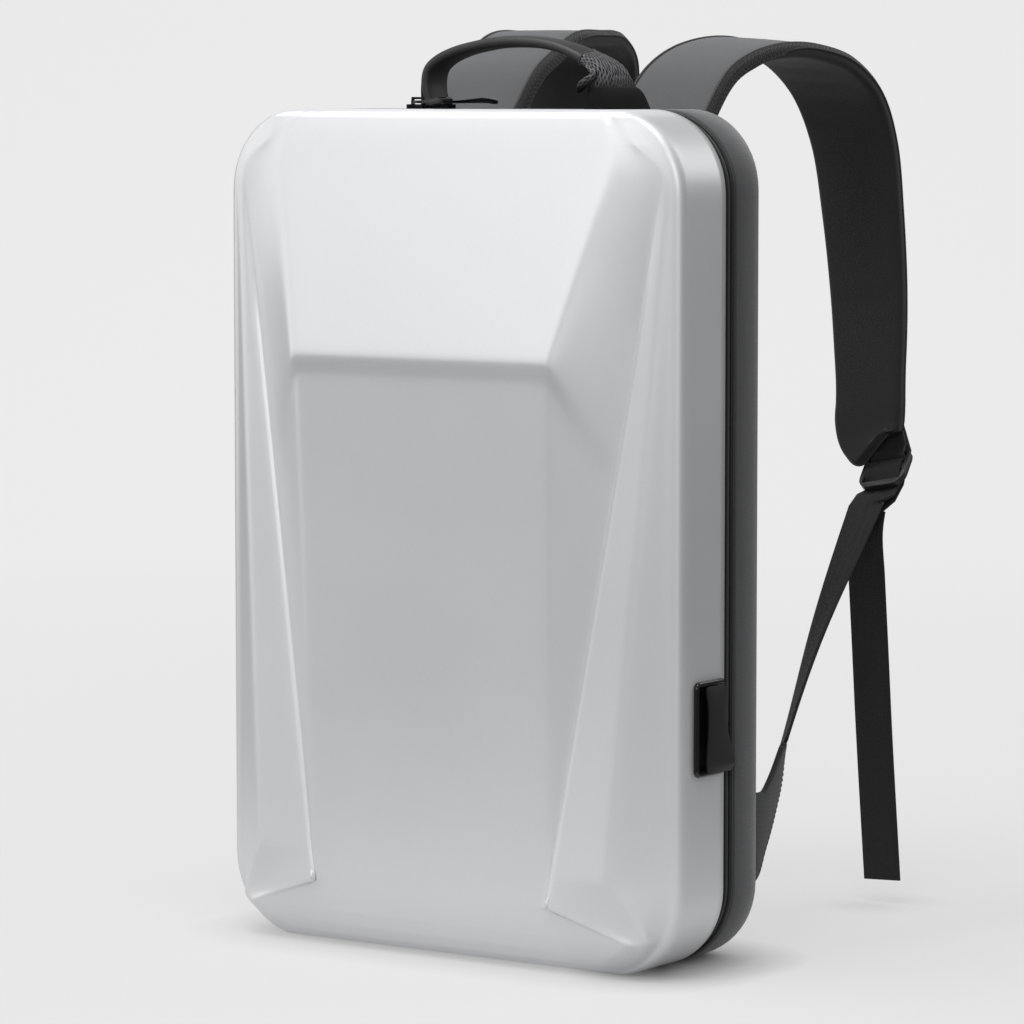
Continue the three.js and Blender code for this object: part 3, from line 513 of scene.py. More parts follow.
def ring_cloth(rings, faces):
    """Flat place of each corner of a lofted body: along the loft and round it, in metres."""
    size = rings.shape[1]
    along = path_lengths(rings.mean(axis=1)) * MM
    around = np.array([path_lengths(np.vstack([ring, ring[:1]])) for ring in rings]) * MM
    around -= around[:, -1:] / 2
    flat = []
    for face in faces:
        cols = [i % size for i in face]
        seam = len(face) == 4 and max(cols) - min(cols) > size / 2
        for i, c in zip(face, cols):
            flat.append((along[i // size], around[i // size, size if seam and c == 0 else c]))
    return flat


def loft(name, rings, finish, stands_for=None, mapped=True):
    """Closed piece through rings of points, with a flat map for its cloth unless it has none."""
    points, faces = skin(rings)
    cloth = ring_cloth(rings, faces) if mapped else None
    return make_piece(name, points, faces, finish, stands_for, cloth)


def round_section(wide, thick, corner, arc=5, crown=0.0, flat=5):
    """Rounded cross-section: places across the width and along the normal, in turn round it."""
    corners = (
        (wide / 2 - corner, thick / 2 - corner, 0), (-wide / 2 + corner, thick / 2 - corner, 90),
        (-wide / 2 + corner, -thick / 2 + corner, 180), (wide / 2 - corner, -thick / 2 + corner, 270),
    )
    turns = np.radians(np.linspace(0, 90, arc + 1))
    places = []
    for i, (across, normal, start) in enumerate(corners):
        angle = turns + math.radians(start)
        places.extend(zip(across + corner * np.cos(angle), normal + corner * np.sin(angle)))
        if i in (0, 2):
            side = 1 if i == 0 else -1
            for share in np.linspace(1, -1, flat + 2)[1:-1]:
                places.append((side * share * (wide / 2 - corner), side * thick / 2))
    places = np.array(places)
    places[:, 1] *= 1 + crown * np.clip(1 - (2 * places[:, 0] / wide) ** 2, 0, 1)
    return places


def line_frames(line, directions):
    """Unit vectors along a line, across it and normal to both, at each of its points."""
    along = unit(np.gradient(line, axis=0))
    across = np.broadcast_to(np.asarray(directions, float), line.shape)
    across = unit(across - along * np.sum(across * along, axis=1, keepdims=True))
    return along, across, np.cross(along, across)


def lay(line, across, normal, places):
    """Rows of points beside a line: places gives each row its steps across the line and along its normal."""
    places = np.asarray(places, float)
    return line[:, None] + across[:, None] * places[..., :1] + normal[:, None] * places[..., 1:]


def sweep(line, directions, sections):
    """Rings of cross-sections set along a line."""
    _, across, normal = line_frames(line, directions)
    return lay(line, across, normal, sections)


def circle_points(radius, turns):
    """Places on a circle at given turns."""
    return radius * np.stack([np.cos(turns), np.sin(turns)], axis=1)


def circle(radius, sides=8):
    """Round cross-section."""
    return circle_points(radius, np.linspace(0, 2 * math.pi, sides, endpoint=False))


def mirror_x(points):
    """Mirror image of points in the plane between left and right."""
    return np.asarray(points, float) * (-1, 1, 1)


def outline(inset, steps=CORNER_STEPS, spacing=EDGE_SPACING):
    """Rounded outline of the bag seen from the front, as x and z, anticlockwise from the right."""
    half, radius = HALF_WIDTH - inset, CORNER_R - inset
    return rounded_rectangle(half, inset, HEIGHT - inset, radius, steps, spacing)


def rounded_rectangle(half, bottom, top, radius, steps, spacing=None, counts=None):
    """Points round a rectangle with round corners; counts are the parts of a level and an upright side."""
    flats = 2 * (half - radius), top - bottom - 2 * radius
    counts = counts or [max(1, round(flat / spacing)) for flat in flats]
    corners = ((half - radius, top - radius, 0), (-half + radius, top - radius, 90),
               (-half + radius, bottom + radius, 180), (half - radius, bottom + radius, 270))
    arcs = []
    for x, z, start in corners:
        angle = np.radians(start + np.linspace(0, 90, steps + 1))
        arcs.append(np.stack([x + radius * np.cos(angle), z + radius * np.sin(angle)], axis=1))
    loop = []
    for i, arc in enumerate(arcs):
        gap = arcs[(i + 1) % 4][0] - arc[-1]
        loop += [arc, arc[-1] + gap * np.linspace(0, 1, counts[i % 2] + 1)[1:-1, None]]
    return np.concatenate(loop)


def at_depth(loop, y):
    """Points from a table whose first two columns are x and z, set at a depth."""
    return np.stack([loop[:, 0], np.full(len(loop), y), loop[:, 1]], axis=1)


# Materials
def node(tree, kind, inputs=None, **settings):
    """Add a node. inputs gives a socket, by name or number, a value, a node or one of a node's outputs.

    A kind without the word Node gets the tree's own prefix, such as ShaderNode.
    """
    made = tree.nodes.new(kind if "Node" in kind else tree.bl_idname.removesuffix("Tree") + kind)
    for key, value in settings.items():
        setattr(made, key, value)
    for key, value in (inputs or {}).items():
        if isinstance(value, bpy.types.Node):
            value = next(socket for socket in value.outputs if socket.enabled)
        if isinstance(value, bpy.types.NodeSocket):
            tree.links.new(value, made.inputs[key])
        else:
            made.inputs[key].default_value = value
    return made


def new_material(name):
    """Empty material and its node tree."""
    material = bpy.data.materials.new(name)
    material.use_nodes = True
    material.node_tree.nodes.clear()
    return material, material.node_tree


def finish_material(material, **inputs):
    """The material with its shader, whose sockets are named with underscores for spaces."""
    named = {key.replace("_", " "): value for key, value in inputs.items()}
    shader = node(material.node_tree, "BsdfPrincipled", named)
    node(material.node_tree, "OutputMaterial", {"Surface": shader})
    return material


def shade(colour, factor):
    """Darker or lighter version of a linear colour, with alpha."""
    return tuple(min(1.0, c * factor) for c in colour) + (1.0,)


def two_shades(colour, dark, light):
    """Inputs of a colour mix between a darker and a lighter version of a colour."""
    return {6: shade(colour, dark), 7: shade(colour, light)}


def silver_shell(colour):
    """Silver-sprayed polycarbonate, moulded: fine even grain, broad soft highlights, faint metal flake."""
    material, tree = new_material("sprayed_polycarbonate")
    place = node(tree, "TexCoord").outputs["Object"]
    flake = node(tree, "TexNoise", {"Vector": place, "Scale": 1 / (0.9 * MM), "Detail": 2.0})
    cloud = node(tree, "TexNoise", {"Vector": place, "Scale": 1 / (120 * MM), "Detail": 3.0})
    mixed = node(tree, "Math", {0: flake, 1: cloud}, operation="ADD")
    span = {"Value": mixed, "From Min": 0.6, "From Max": 1.4}
    tone = node(tree, "MapRange", span)
    paint = node(tree, "Mix", {0: tone, **two_shades(colour, 0.97, 1.03)}, data_type="RGBA")
    rough = node(tree, "MapRange", {**span, "To Min": 0.45, "To Max": 0.53})
    grain = node(tree, "Bump", {"Height": flake, "Strength": 0.06, "Distance": 0.2 * MM})
    return finish_material(material, Base_Color=paint, Roughness=rough, Normal=grain, Metallic=0.5,
                           Coat_Weight=0.35, Coat_Roughness=0.22)


def woven_cloth(name, colour, thread, rough=0.85, relief=0.35, streak=0.25, sheen=0.15, shades=(0.62, 1.25)):
    """Plain-woven cloth on its own flat map: over-and-under threads with painted shade in the hollows between
    them, slubs and a soft sheen.
    """
    material, tree = new_material(name)
    flat = node(tree, "UVMap", uv_map="cloth")
    scaled = node(tree, "VectorMath", {0: flat, "Scale": 1 / thread}, operation="SCALE")
    parts = node(tree, "SeparateXYZ", {0: scaled}).outputs
    warp, weft = (node(tree, "Math", {0: part, 1: 0.5}, operation="PINGPONG") for part in parts[:2])
    over = node(tree, "TexChecker", {"Vector": scaled, "Scale": 1.0})
    threads = node(tree, "Mix", {0: over.outputs["Fac"], 2: warp, 3: weft})
    slub = node(tree, "TexNoise", {"Vector": flat, "Scale": 1 / (14 * MM), "Detail": 4.0})
    height = node(tree, "Math", {0: threads, 1: 2.0}, operation="MULTIPLY")
    # Painted shade: the threads' height makes the colour darker between them, added to the slubs
    lit = node(tree, "Math", {0: slub, 1: streak, 2: height}, operation="MULTIPLY_ADD")
    tone = node(tree, "MapRange", {"Value": lit, "From Min": 0.1, "From Max": 1.1})
    dye_and_weave_shade = node(tree, "Mix", {0: tone, **two_shades(colour, *shades)}, data_type="RGBA")
    bump = node(tree, "Bump", {"Height": height, "Strength": relief, "Distance": 0.3 * MM})
    return finish_material(material, Base_Color=dye_and_weave_shade, Normal=bump, Roughness=rough, Sheen_Weight=sheen,
                           Sheen_Roughness=0.5, Specular_IOR_Level=0.3)


def ribbed_webbing(name, colour, rib):
    """Woven polypropylene webbing: slanted ribs along its length with painted shade between them, a little
    sheen.
    """
    material, tree = new_material(name)
    flat = node(tree, "UVMap", uv_map="cloth")
    parts = node(tree, "SeparateXYZ", {0: flat})
    lanes = node(tree, "Math", {0: parts.outputs[1], 1: 2 * rib}, operation="PINGPONG")
    slant = node(tree, "Math", {0: lanes, 1: 0.9, 2: parts.outputs[0]}, operation="MULTIPLY_ADD")
    ridge = node(tree, "Math", {0: slant, 1: rib / 2}, operation="PINGPONG")
    height = node(tree, "MapRange", {"Value": ridge, "From Max": rib / 2})
    dirt = node(tree, "TexNoise", {"Vector": flat, "Scale": 1 / (20 * MM), "Detail": 3.0})
    # Painted shade: the ribs' height makes the colour darker between them, added to the dirt
    mixed = node(tree, "Math", {0: dirt, 1: 0.5, 2: height}, operation="MULTIPLY_ADD")
    tone = node(tree, "MapRange", {"Value": mixed, "From Min": 0.1, "From Max": 1.3})
    dye_and_weave_shade = node(tree, "Mix", {0: tone, **two_shades(colour, 0.6, 1.25)}, data_type="RGBA")
    bump = node(tree, "Bump", {"Height": height, "Strength": 0.4, "Distance": 0.35 * MM})
    return finish_material(material, Base_Color=dye_and_weave_shade, Normal=bump, Roughness=0.75, Sheen_Weight=0.05,
                           Sheen_Roughness=0.4, Specular_IOR_Level=0.3)


def knitted_mesh(colour, knit):
    """Knitted spacer mesh: rows of small oval cells with raised yarn between them, painted darker at its foot
    as shade.
    """
    material, tree = new_material("knitted_spacer_mesh")
    flat = node(tree, "UVMap", uv_map="cloth")
    scaled = node(tree, "Mapping", {"Vector": flat, "Rotation": (0, 0, KNIT_TURN),
                                              "Scale": (0.55 / knit, 1.3 / knit, 1)})
    cells = node(tree, "TexVoronoi", {"Vector": scaled, "Scale": 1.0, "Randomness": 0.25})
    tone = node(tree, "MapRange", {"Value": cells, "From Min": 0.2, "From Max": 0.55})
    yarn = node(tree, "Mix", {0: tone, **two_shades(colour, 0.1, 5.5)}, data_type="RGBA")
    place = node(tree, "SeparateXYZ", {0: node(tree, "TexCoord").outputs["Object"]})
    # Painted shade: below these heights the knit gives way to a dark copy of the mesh colour and loses its
    # relief
    low, high = (z * MM for z in MESH_FADE)
    painted_shade_fade = node(tree, "MapRange", {"Value": place.outputs[2], "From Min": low, "From Max": high})
    painted_shade_knit = node(tree, "Mix", {0: painted_shade_fade, 6: shade(colour, 0.3), 7: yarn}, data_type="RGBA")
    bump = node(tree, "Bump", {"Height": tone, "Strength": painted_shade_fade, "Distance": 0.4 * MM})
    return finish_material(material, Base_Color=painted_shade_knit, Normal=bump, Roughness=0.9, Specular_IOR_Level=0.12)


def grained_leather(colour):
    """Coated leather, wrapped and pressed: small pebble grain, satin gloss, paler in patches of wear."""
    material, tree = new_material("coated_leather")
    place = node(tree, "TexCoord").outputs["Object"]
    pebble = node(tree, "TexVoronoi", {"Vector": place, "Scale": 1 / (1.3 * MM), "Smoothness": 0.4},
                  feature="SMOOTH_F1")
    wear = node(tree, "TexNoise", {"Vector": place, "Scale": 1 / (16 * MM), "Detail": 3.0})
    tone = node(tree, "Mix", {0: wear, **two_shades(colour, 0.7, 1.4)}, data_type="RGBA")
    rough = node(tree, "MapRange", {"Value": wear, "To Min": 0.5, "To Max": 0.64})
    bump = node(tree, "Bump", {"Height": pebble, "Strength": 0.18, "Distance": 0.25 * MM})
    return finish_material(material, Base_Color=tone, Roughness=rough, Normal=bump, Specular_IOR_Level=0.45)


def hard_finish(name, colour, rough, grain, relief, metallic=0.0, coat=0.0):
    """Moulded, cast or plated hard finish: fine grit in its gloss, faint unevenness in its colour."""
    material, tree = new_material(name)
    place = node(tree, "TexCoord").outputs["Object"]
    grit = node(tree, "TexNoise", {"Vector": place, "Scale": 1 / grain, "Detail": 3.0})
    tone = node(tree, "Mix", {0: grit, **two_shades(colour, 0.8, 1.25)}, data_type="RGBA")
    gloss = node(tree, "MapRange", {"Value": grit, "To Min": rough - 0.06, "To Max": rough + 0.08})
    bump = node(tree, "Bump", {"Height": grit, "Strength": relief, "Distance": 0.1 * MM})
    return finish_material(material, Base_Color=tone, Roughness=gloss, Normal=bump, Metallic=metallic,
                           Coat_Weight=coat, Coat_Roughness=0.1)


def make_materials(scene):
    """Every finish of the bag, by what it is used for."""
    colours, sizes = scene.bag_colours, scene.bag_sizes
    return {
        "shell": silver_shell(colours.shell),
        # Plain coated weave, dull, with a soft sheen at its edges
        "back": woven_cloth("polyester_oxford", colours.back, sizes.thread, sheen=0.35),
        # Fine flat weave, dull black
        "tape": woven_cloth("polyester_zip_tape", colours.zip, 0.8 * MM, relief=0.3),
        # Tight fine weave with a thin line of gloss
        "piping": woven_cloth("bias_tape_piping", colours.zip, 0.9 * MM, relief=0.3, rough=0.5),
        # Paler copy of the strap black, a painted highlight: the thin light line along the strap hems
        "hem": woven_cloth("nylon_hem_tape_painted_light", shade(colours.strap, 1.7)[:3], 0.9 * MM, relief=0.2, rough=0.6),
        # Coarse ribs across a narrow band
        "binding": woven_cloth("grosgrain_binding", colours.strap, 1.7 * MM, relief=0.8, streak=0.4),
        # Smooth cloth folded double, in the back's grey darkened to 0.45: painted shade low at the bag's
        # corner
        "tab": woven_cloth("polyester_tab_painted_shade", shade(colours.back, 0.45)[:3], 1.6 * MM, relief=0.12, streak=0.3),
        # Close even weave, almost without relief
        "strap": woven_cloth("nylon_strap_fabric", colours.strap, sizes.thread, rough=0.75, relief=0.15,
                             shades=(0.8, 1.08)),
        # Two greys of yarn that blend to a mottled mid grey
        "facing": woven_cloth("two_tone_polyester", colours.facing, sizes.thread, relief=0.2,
                              shades=(0.76, 1.15)),
        "webbing": ribbed_webbing("polypropylene_webbing", colours.webbing, sizes.web_rib),
        "mesh": knitted_mesh(colours.mesh, sizes.knit),
        "leather": grained_leather(colours.leather),
        # Small smooth turns with short glints
        "coil": hard_finish("nylon_coil", colours.zip, 0.45, 2 * MM, 0.1),
        # Black mirror with tiny bright glints
        "metal": hard_finish("plated_zinc", colours.metal, 0.16, 1.5 * MM, 0.05, metallic=0.9),
        # Fine moulded grain, satin
        "buckle": hard_finish("acetal_buckle", colours.buckle, 0.42, 0.8 * MM, 0.12),
        # Black gloss with clear reflections
        "port": hard_finish("gloss_abs", colours.port, 0.14, 3 * MM, 0.03, coat=0.1),
        # Matt black with a broad dim highlight
        "rubber": hard_finish("moulded_rubber", colours.rubber, 0.5, 0.9 * MM, 0.15),
        # Small dull twisted yarn
        "thread": hard_finish("polyester_thread", colours.strap, 0.6, 0.5 * MM, 0.2),
    }


MATERIALS = {}


# Things repeated along a path
def repeat_tree():
    """Geometry nodes that set copies of a small shape along a path at an even distance."""
    tree = bpy.data.node_groups.new("Repeat along a path", "GeometryNodeTree")
    inputs = {"Path": "Geometry", "Shape": "Object", "Spacing": "Float", "Finish": "Material"}
    for name, kind in inputs.items():
        tree.interface.new_socket(name, in_out="INPUT", socket_type="NodeSocket" + kind)
    tree.interface.new_socket("Copies", in_out="OUTPUT", socket_type="NodeSocketGeometry")
    given = node(tree, "NodeGroupInput").outputs
    curve = node(tree, "MeshToCurve", {"Mesh": given["Path"]})
    points = node(tree, "ResampleCurve", {"Curve": curve, "Length": given["Spacing"]},
                  mode="LENGTH")
    along = node(tree, "InputTangent")
    up = node(tree, "InputNamedAttribute", {"Name": "up"}, data_type="FLOAT_VECTOR")
    turned = node(tree, "FunctionNodeAlignRotationToVector", {"Vector": along}, axis="X")
    upright = node(tree, "FunctionNodeAlignRotationToVector", {"Rotation": turned, "Vector": up.outputs[0]},
                   axis="Z", pivot_axis="X")
    shape = node(tree, "ObjectInfo", {"Object": given["Shape"]})
    copies = node(tree, "InstanceOnPoints", {
        "Points": points, "Instance": shape.outputs["Geometry"], "Rotation": upright})
    real = node(tree, "RealizeInstances", {"Geometry": copies})
    dressed = node(tree, "SetMaterial", {"Geometry": real, "Material": given["Finish"]})
    node(tree, "NodeGroupOutput", {"Copies": dressed})
    return tree


def bead_shape(long, wide, high, sides=6, rings=5):
    """Small rounded shape that is repeated, long along X and high along Z."""
    mesh = bpy.data.meshes.new("bead")
    bm = bmesh.new()
    bmesh.ops.create_uvsphere(bm, u_segments=sides, v_segments=rings, radius=0.5)
    bmesh.ops.rotate(bm, verts=bm.verts, cent=(0, 0, 0), matrix=Matrix.Rotation(math.pi / 2, 3, "Y"))
    bmesh.ops.scale(bm, verts=bm.verts, vec=Vector((long, wide, high)) * MM)
    bm.to_mesh(mesh)
    bm.free()
    return add_object("bead", mesh)


def repeat_along(name, paths, shape, spacing, finish, closed=False):
    """Piece made of copies of a shape along paths. Each path is its points and the way up at each of them."""
    mesh = bpy.data.meshes.new(name)
    points, ups, edges = [], [], []
    for line, up in paths:
        start = len(points)
        points.extend(np.asarray(line) * MM)
        ups.extend(np.broadcast_to(np.asarray(up, float), np.shape(line)))
        edges.extend((start + i, start + i + 1) for i in range(len(line) - 1))
        if closed:
            edges.append((start + len(line) - 1, start))
    mesh.from_pydata([tuple(p) for p in points], edges, [])
    attribute = mesh.attributes.new("up", "FLOAT_VECTOR", "POINT")
    attribute.data.foreach_set("vector", np.array(ups, np.float32).ravel())
    carrier = add_object(name + "_path", mesh)
    tree = bpy.data.node_groups.get("Repeat along a path") or repeat_tree()
    modifier = carrier.modifiers.new("Repeat", "NODES")
    modifier.node_group = tree
    identifiers = {item.name: item.identifier for item in tree.interface.items_tree if item.in_out == "INPUT"}
    for key, value in (("Shape", shape), ("Spacing", spacing), ("Finish", MATERIALS[finish])):
        modifier[identifiers[key]] = value
    graph = bpy.context.evaluated_depsgraph_get()
    made = bpy.data.meshes.new_from_object(carrier.evaluated_get(graph), depsgraph=graph)
    carrier.modifiers.remove(modifier)
    bpy.data.objects.remove(carrier)
    if not made.polygons:
        raise RuntimeError(f"{name}: nothing was set along its path")
    return finish_piece(name, made, finish)


def stitch_lines(name, paths, scene):
    """Rows of stitches along paths."""
    sizes = scene.bag_sizes
    thick = sizes.stitch_thick / MM
    shape = bead_shape(sizes.stitch_long / MM, thick, thick)
    repeat_along(name, paths, shape, sizes.stitch_pitch, "thread")
    bpy.data.objects.remove(shape)


# Front shell
def rim_half(z):
    """Half width of the bag's outline at a height."""
    from_end = min(z, HEIGHT - z)
    if from_end >= CORNER_R:
        return HALF_WIDTH
    return HALF_WIDTH - CORNER_R + math.sqrt(max(0.0, CORNER_R ** 2 - (CORNER_R - from_end) ** 2))


def on_crease(start, end, z):
    """Place across and stand-out of a straight crease at a height."""
    t = (z - start[2]) / (end[2] - start[2])
    return np.array(start[:2]) * (1 - t) + np.array(end[:2]) * t


def fin_edge(top, bend, low, z):
    """Place across and stand-out of an edge of the right fin at a height; the edge ends at its low corner."""
    return on_crease(top, bend, z) if z >= bend[2] else on_crease(bend, low, max(z, low[2]))


def crease_columns(row):
    """Panel edge, foot, crest and shoulder of the fin beside one crease of the panel: x and stand-out."""
    z, half, out = row["z_side"], row["half"], row["out"]
    edge, lip = rim_half(z) - RIM_FILLET, min(out, RIM_OUT)
    crest = fin_edge(FIN_CREST_TOP, FIN_CREST_TIP, FIN_CHIN, z)
    shoulder = fin_edge(FIN_SHOULDER_TOP, FIN_SHOULDER_BEND, FIN_CORNER, z)
    columns = [np.array([half, out])]
    if FIN_CHIN[2] <= z <= FIN_TOP_Z:
        drop = FIN_STEP * min(1, (FIN_TOP_Z - z) / FIN_RISE["top"],
                              (z - FIN_CHIN[2] + FIN_RISE["below"]) / FIN_RISE["tip"])
        foot = max(half + FIN_FOOT_APART, crest[0] - FIN_STEP_RUN)
        columns += [np.array([foot, crest[1] - drop]), crest, shoulder]
    else:
        to_chin = (z / FIN_CHIN[2]) ** 2 if z < FIN_CHIN[2] else 0.0
        fins = (crest - (FIN_STEP_RUN, 0), crest, shoulder)
        for (across, fall), fin in zip(PLAIN_SIDE, fins):
            plain = np.array([half + (edge - half) * across, out + (lip - out) * fall])
            columns.append(plain * (1 - to_chin) + fin * to_chin)
    return np.array(columns)


def shell_row(row, columns):
    """Right half of one fine row of the shell, from the centre line to the back rim."""
    z_mid, z_side, out = row["z_mid"], row["z_side"], row["out"]
    edge, lip = rim_half(z_side) - RIM_FILLET, min(out, RIM_OUT)
    marks = [(0.0, FRONT_Y - out, z_mid)]
    for i, (x, stand) in enumerate(columns):
        limit = edge - (len(columns) - i) * CREASE_APART
        marks.append((min(x, limit), FRONT_Y - stand, z_mid if i == 0 else z_side))
    marks.append((edge, FRONT_Y - lip, z_side))
    marks = np.array(marks)
    points = [marks[:1]]
    for i, steps in enumerate(COLUMN_STEPS):
        share = spread(steps, to_end=i == 0)[1:, None]
        points.append(marks[i] * (1 - share) + marks[i + 1] * share)
    turn = RIM_TURNS[1:]
    points.append(np.stack([edge + RIM_FILLET * np.sin(turn), FRONT_Y - lip + RIM_FILLET * (1 - np.cos(turn)),
                            np.full(len(turn), z_side)], axis=1))
    last = points[-1][-1]
    back = np.array([last[0], SHELL_BACK_Y, z_side])
    share = np.linspace(0, 1, SIDE_STEPS + 1)[1:, None]
    points.append(last * (1 - share) + back * share)
    return np.concatenate(points)


def shell_grid():
    """Fine grid of points over the shell's outside, with its creases rounded."""
    rows = [dict(zip(PANEL_COLUMNS, row)) for row in PANEL_ROWS]
    nets = [crease_columns(row) for row in rows]
    fine, row_soft = [], []
    for k, (low, high) in enumerate(zip(rows, rows[1:])):
        shares = spread(low["steps"])
        for f in shares if k == len(rows) - 2 else shares[:-1]:
            between = {key: low[key] * (1 - f) + high[key] * f for key in PANEL_COLUMNS}
            fine.append(shell_row(between, nets[k] * (1 - f) + nets[k + 1] * f))
            row_soft.append(between["soft"])
    half = np.array(fine)
    column_soft = [np.full(1, COLUMN_SOFT[0])]
    facet = np.zeros(half.shape[1])
    for i, steps in enumerate(COLUMN_STEPS):
        column_soft.append(np.interp(spread(steps)[1:], (0, 1), COLUMN_SOFT[i:i + 2]))
    start = 1 + COLUMN_STEPS[0]
    facet[start:start + COLUMN_STEPS[1]] = np.sin(math.pi * spread(COLUMN_STEPS[1])[1:])
    column_soft.append(np.full(len(RIM_TURNS) - 1 + SIDE_STEPS, RIM_SOFT))
    column_soft = np.concatenate(column_soft)
    full = np.concatenate([mirror_x(half[:, :0:-1]), half], axis=1)
    full_soft, facet = (np.concatenate([part[:0:-1], part]) for part in (column_soft, facet))
    full = soften(full, np.broadcast_to(full_soft, full.shape[:2]))
    upright = full.transpose(1, 0, 2)
    upright = soften(upright, np.array(row_soft) * (1 + FACET_SOFT * facet[:, None]))
    return upright.transpose(1, 0, 2)


def cap_grid(grid, ring, points, faces, top):
    """Close the flat top or underside of the shell, sharing the points of its last row."""
    cols = grid.shape[1]
    base = ring * cols
    line = grid[ring]
    start, stop = SIDE_STEPS, cols - 1 - SIDE_STEPS
    before = [base + j for j in range(start, stop + 1)]
    for k in range(1, SIDE_STEPS + 1):
        share = k / SIDE_STEPS
        here = [base + start - k]
        for j in range(start + 1, stop):
            spot = line[j].copy()
            spot[1] += (SHELL_BACK_Y - spot[1]) * share
            here.append(len(points))
            points.append(spot)
        here.append(base + stop + k)
        for j in range(len(here) - 1):
            quad = (before[j], before[j + 1], here[j + 1], here[j])
            faces.append(quad if top else tuple(reversed(quad)))
        before = here


def make_shell(scene):
    """Moulded front shell with its panel, ridge, fins and rounded rim."""
    grid = shell_grid()
    rows, cols, _ = grid.shape
    points = list(grid.reshape(-1, 3))
    faces = grid_faces(rows, cols)
    cap_grid(grid, rows - 1, points, faces, True)
    cap_grid(grid, 0, points, faces, False)
    add_wall(make_piece("shell_moulding", points, faces, "shell", "front_shell"), SHELL_WALL)


# Zip and piping
def band_rings(profile, middle_y):
    """Rings of a profile carried round the bag's outline. The profile is distance in Y and depth."""
    loops = [at_depth(outline(depth), middle_y + across) for across, depth in profile]
    return np.array(loops).transpose(1, 0, 2)


def hoop(name, rings, finish, stands_for):
    """Closed hoop of rings, as a piece of the zip."""
    count, size, _ = rings.shape
    points = rings.reshape(-1, 3)
    plain = grid_faces(count + 1, size, wrap=True)
    joined = [tuple(i % len(points) for i in face) for face in plain]
    faces = turned_outward(points, joined)
    flat = np.array(ring_cloth(np.concatenate([rings, rings[:1]]), plain)).reshape(-1, 4, 2)
    if faces is not joined:
        flat = flat[:, ::-1]
    make_piece(name, points, faces, finish, stands_for, flat)


def make_zip(scene):
    """Zip tape, the two rows of its coil and the piping beside it."""
    hoop("zip_band", band_rings(TAPE_PROFILE, ZIP_Y), "tape", "zip_tape")
    profile = circle(PIPING_R, PIPING_SIDES) + (0, PIPING_LOW[2] + PIPING_R + 0.1)
    hoop("seam_piping", band_rings(profile, (PIPING_LOW[1] + PIPING_HIGH[1]) / 2), "piping", "back_piping")
    shape = bead_shape(*COIL_TOOTH)
    loop = outline(COIL_DEPTH, *COIL_PATH)
    outward = unit(at_depth(loop - (0, HEIGHT / 2), 0))
    paths = [[np.roll(part, i, axis=0) for part in (at_depth(loop, ZIP_Y + row), outward)]
             for i, row in enumerate(COIL_ROWS)]
    pitch = scene.bag_sizes.coil_pitch
    coil = repeat_along("zip_teeth", paths, shape, pitch, "coil", closed=True)
    bpy.data.objects.remove(shape)
    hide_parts("zip_coil")


# Fabric back
def tray_round(radius, y):
    """How far the tray's side has come in at a depth."""
    into = max(0.0, y - (TRAY_BACK_Y - radius))
    return radius - math.sqrt(max(0.0, radius ** 2 - into ** 2))


def tray_ring(y, side, end):
    """One loop round the tray."""
    radius = CORNER_R - TRAY_CORNER_SHARE * side
    return at_depth(rounded_rectangle(HALF_WIDTH - side, end, HEIGHT - end, radius, CORNER_STEPS,
                                      counts=TRAY_COUNTS), y)


def make_back(scene):
    """Padded fabric tray behind the zip."""
    rings = [tray_ring(TRAY_FRONT_Y + step, inset, inset) for step, inset in TRAY_HEM]
    for f in np.linspace(TRAY_BEND_START, 1, TRAY_RINGS):
        y = TRAY_BACK_Y - TRAY_SIDE_R * (1 - math.sin(math.pi / 2 * f))
        rings.append(tray_ring(y, tray_round(TRAY_SIDE_R, y), tray_round(TRAY_END_R, y)))
    rim, from_end = rings[-1], HALF_WIDTH * BACK_SPINE
    core = np.clip(rim, (0, 0, from_end), (0, 0, HEIGHT - from_end))
    for f in np.linspace(0, 1, BACK_INSETS + 1)[1:-1]:
        ring = rim * (1 - f) + core * f
        ring[:, 1] = TRAY_BACK_Y + BACK_CROWN * (1 - (1 - f) ** 2)
        rings.append(ring)
    points, count = np.concatenate(rings), len(rim)
    faces = grid_faces(len(rings), count, wrap=True)
    faces.append(tuple(range(len(points) - count, len(points))))
    faces = [tuple(reversed(f)) for f in faces]
    flat = [((points[i][0] + points[i][1]) * MM, points[i][2] * MM) for face in faces for i in face]
    piece = make_piece("fabric_back", points, faces, "back", "back_panel", flat)
    add_wall(piece, TRAY_WALL)


def even_loop(loop, count):
    """Closed loop with a given number of points, from the same start."""
    if len(loop) == count:
        return loop
    closed = np.vstack([loop, loop[:1]])
    along = path_lengths(closed)
    at = np.linspace(0, along[-1], count, endpoint=False)
    return np.stack([np.interp(at, along, closed[:, k]) for k in range(3)], axis=1)


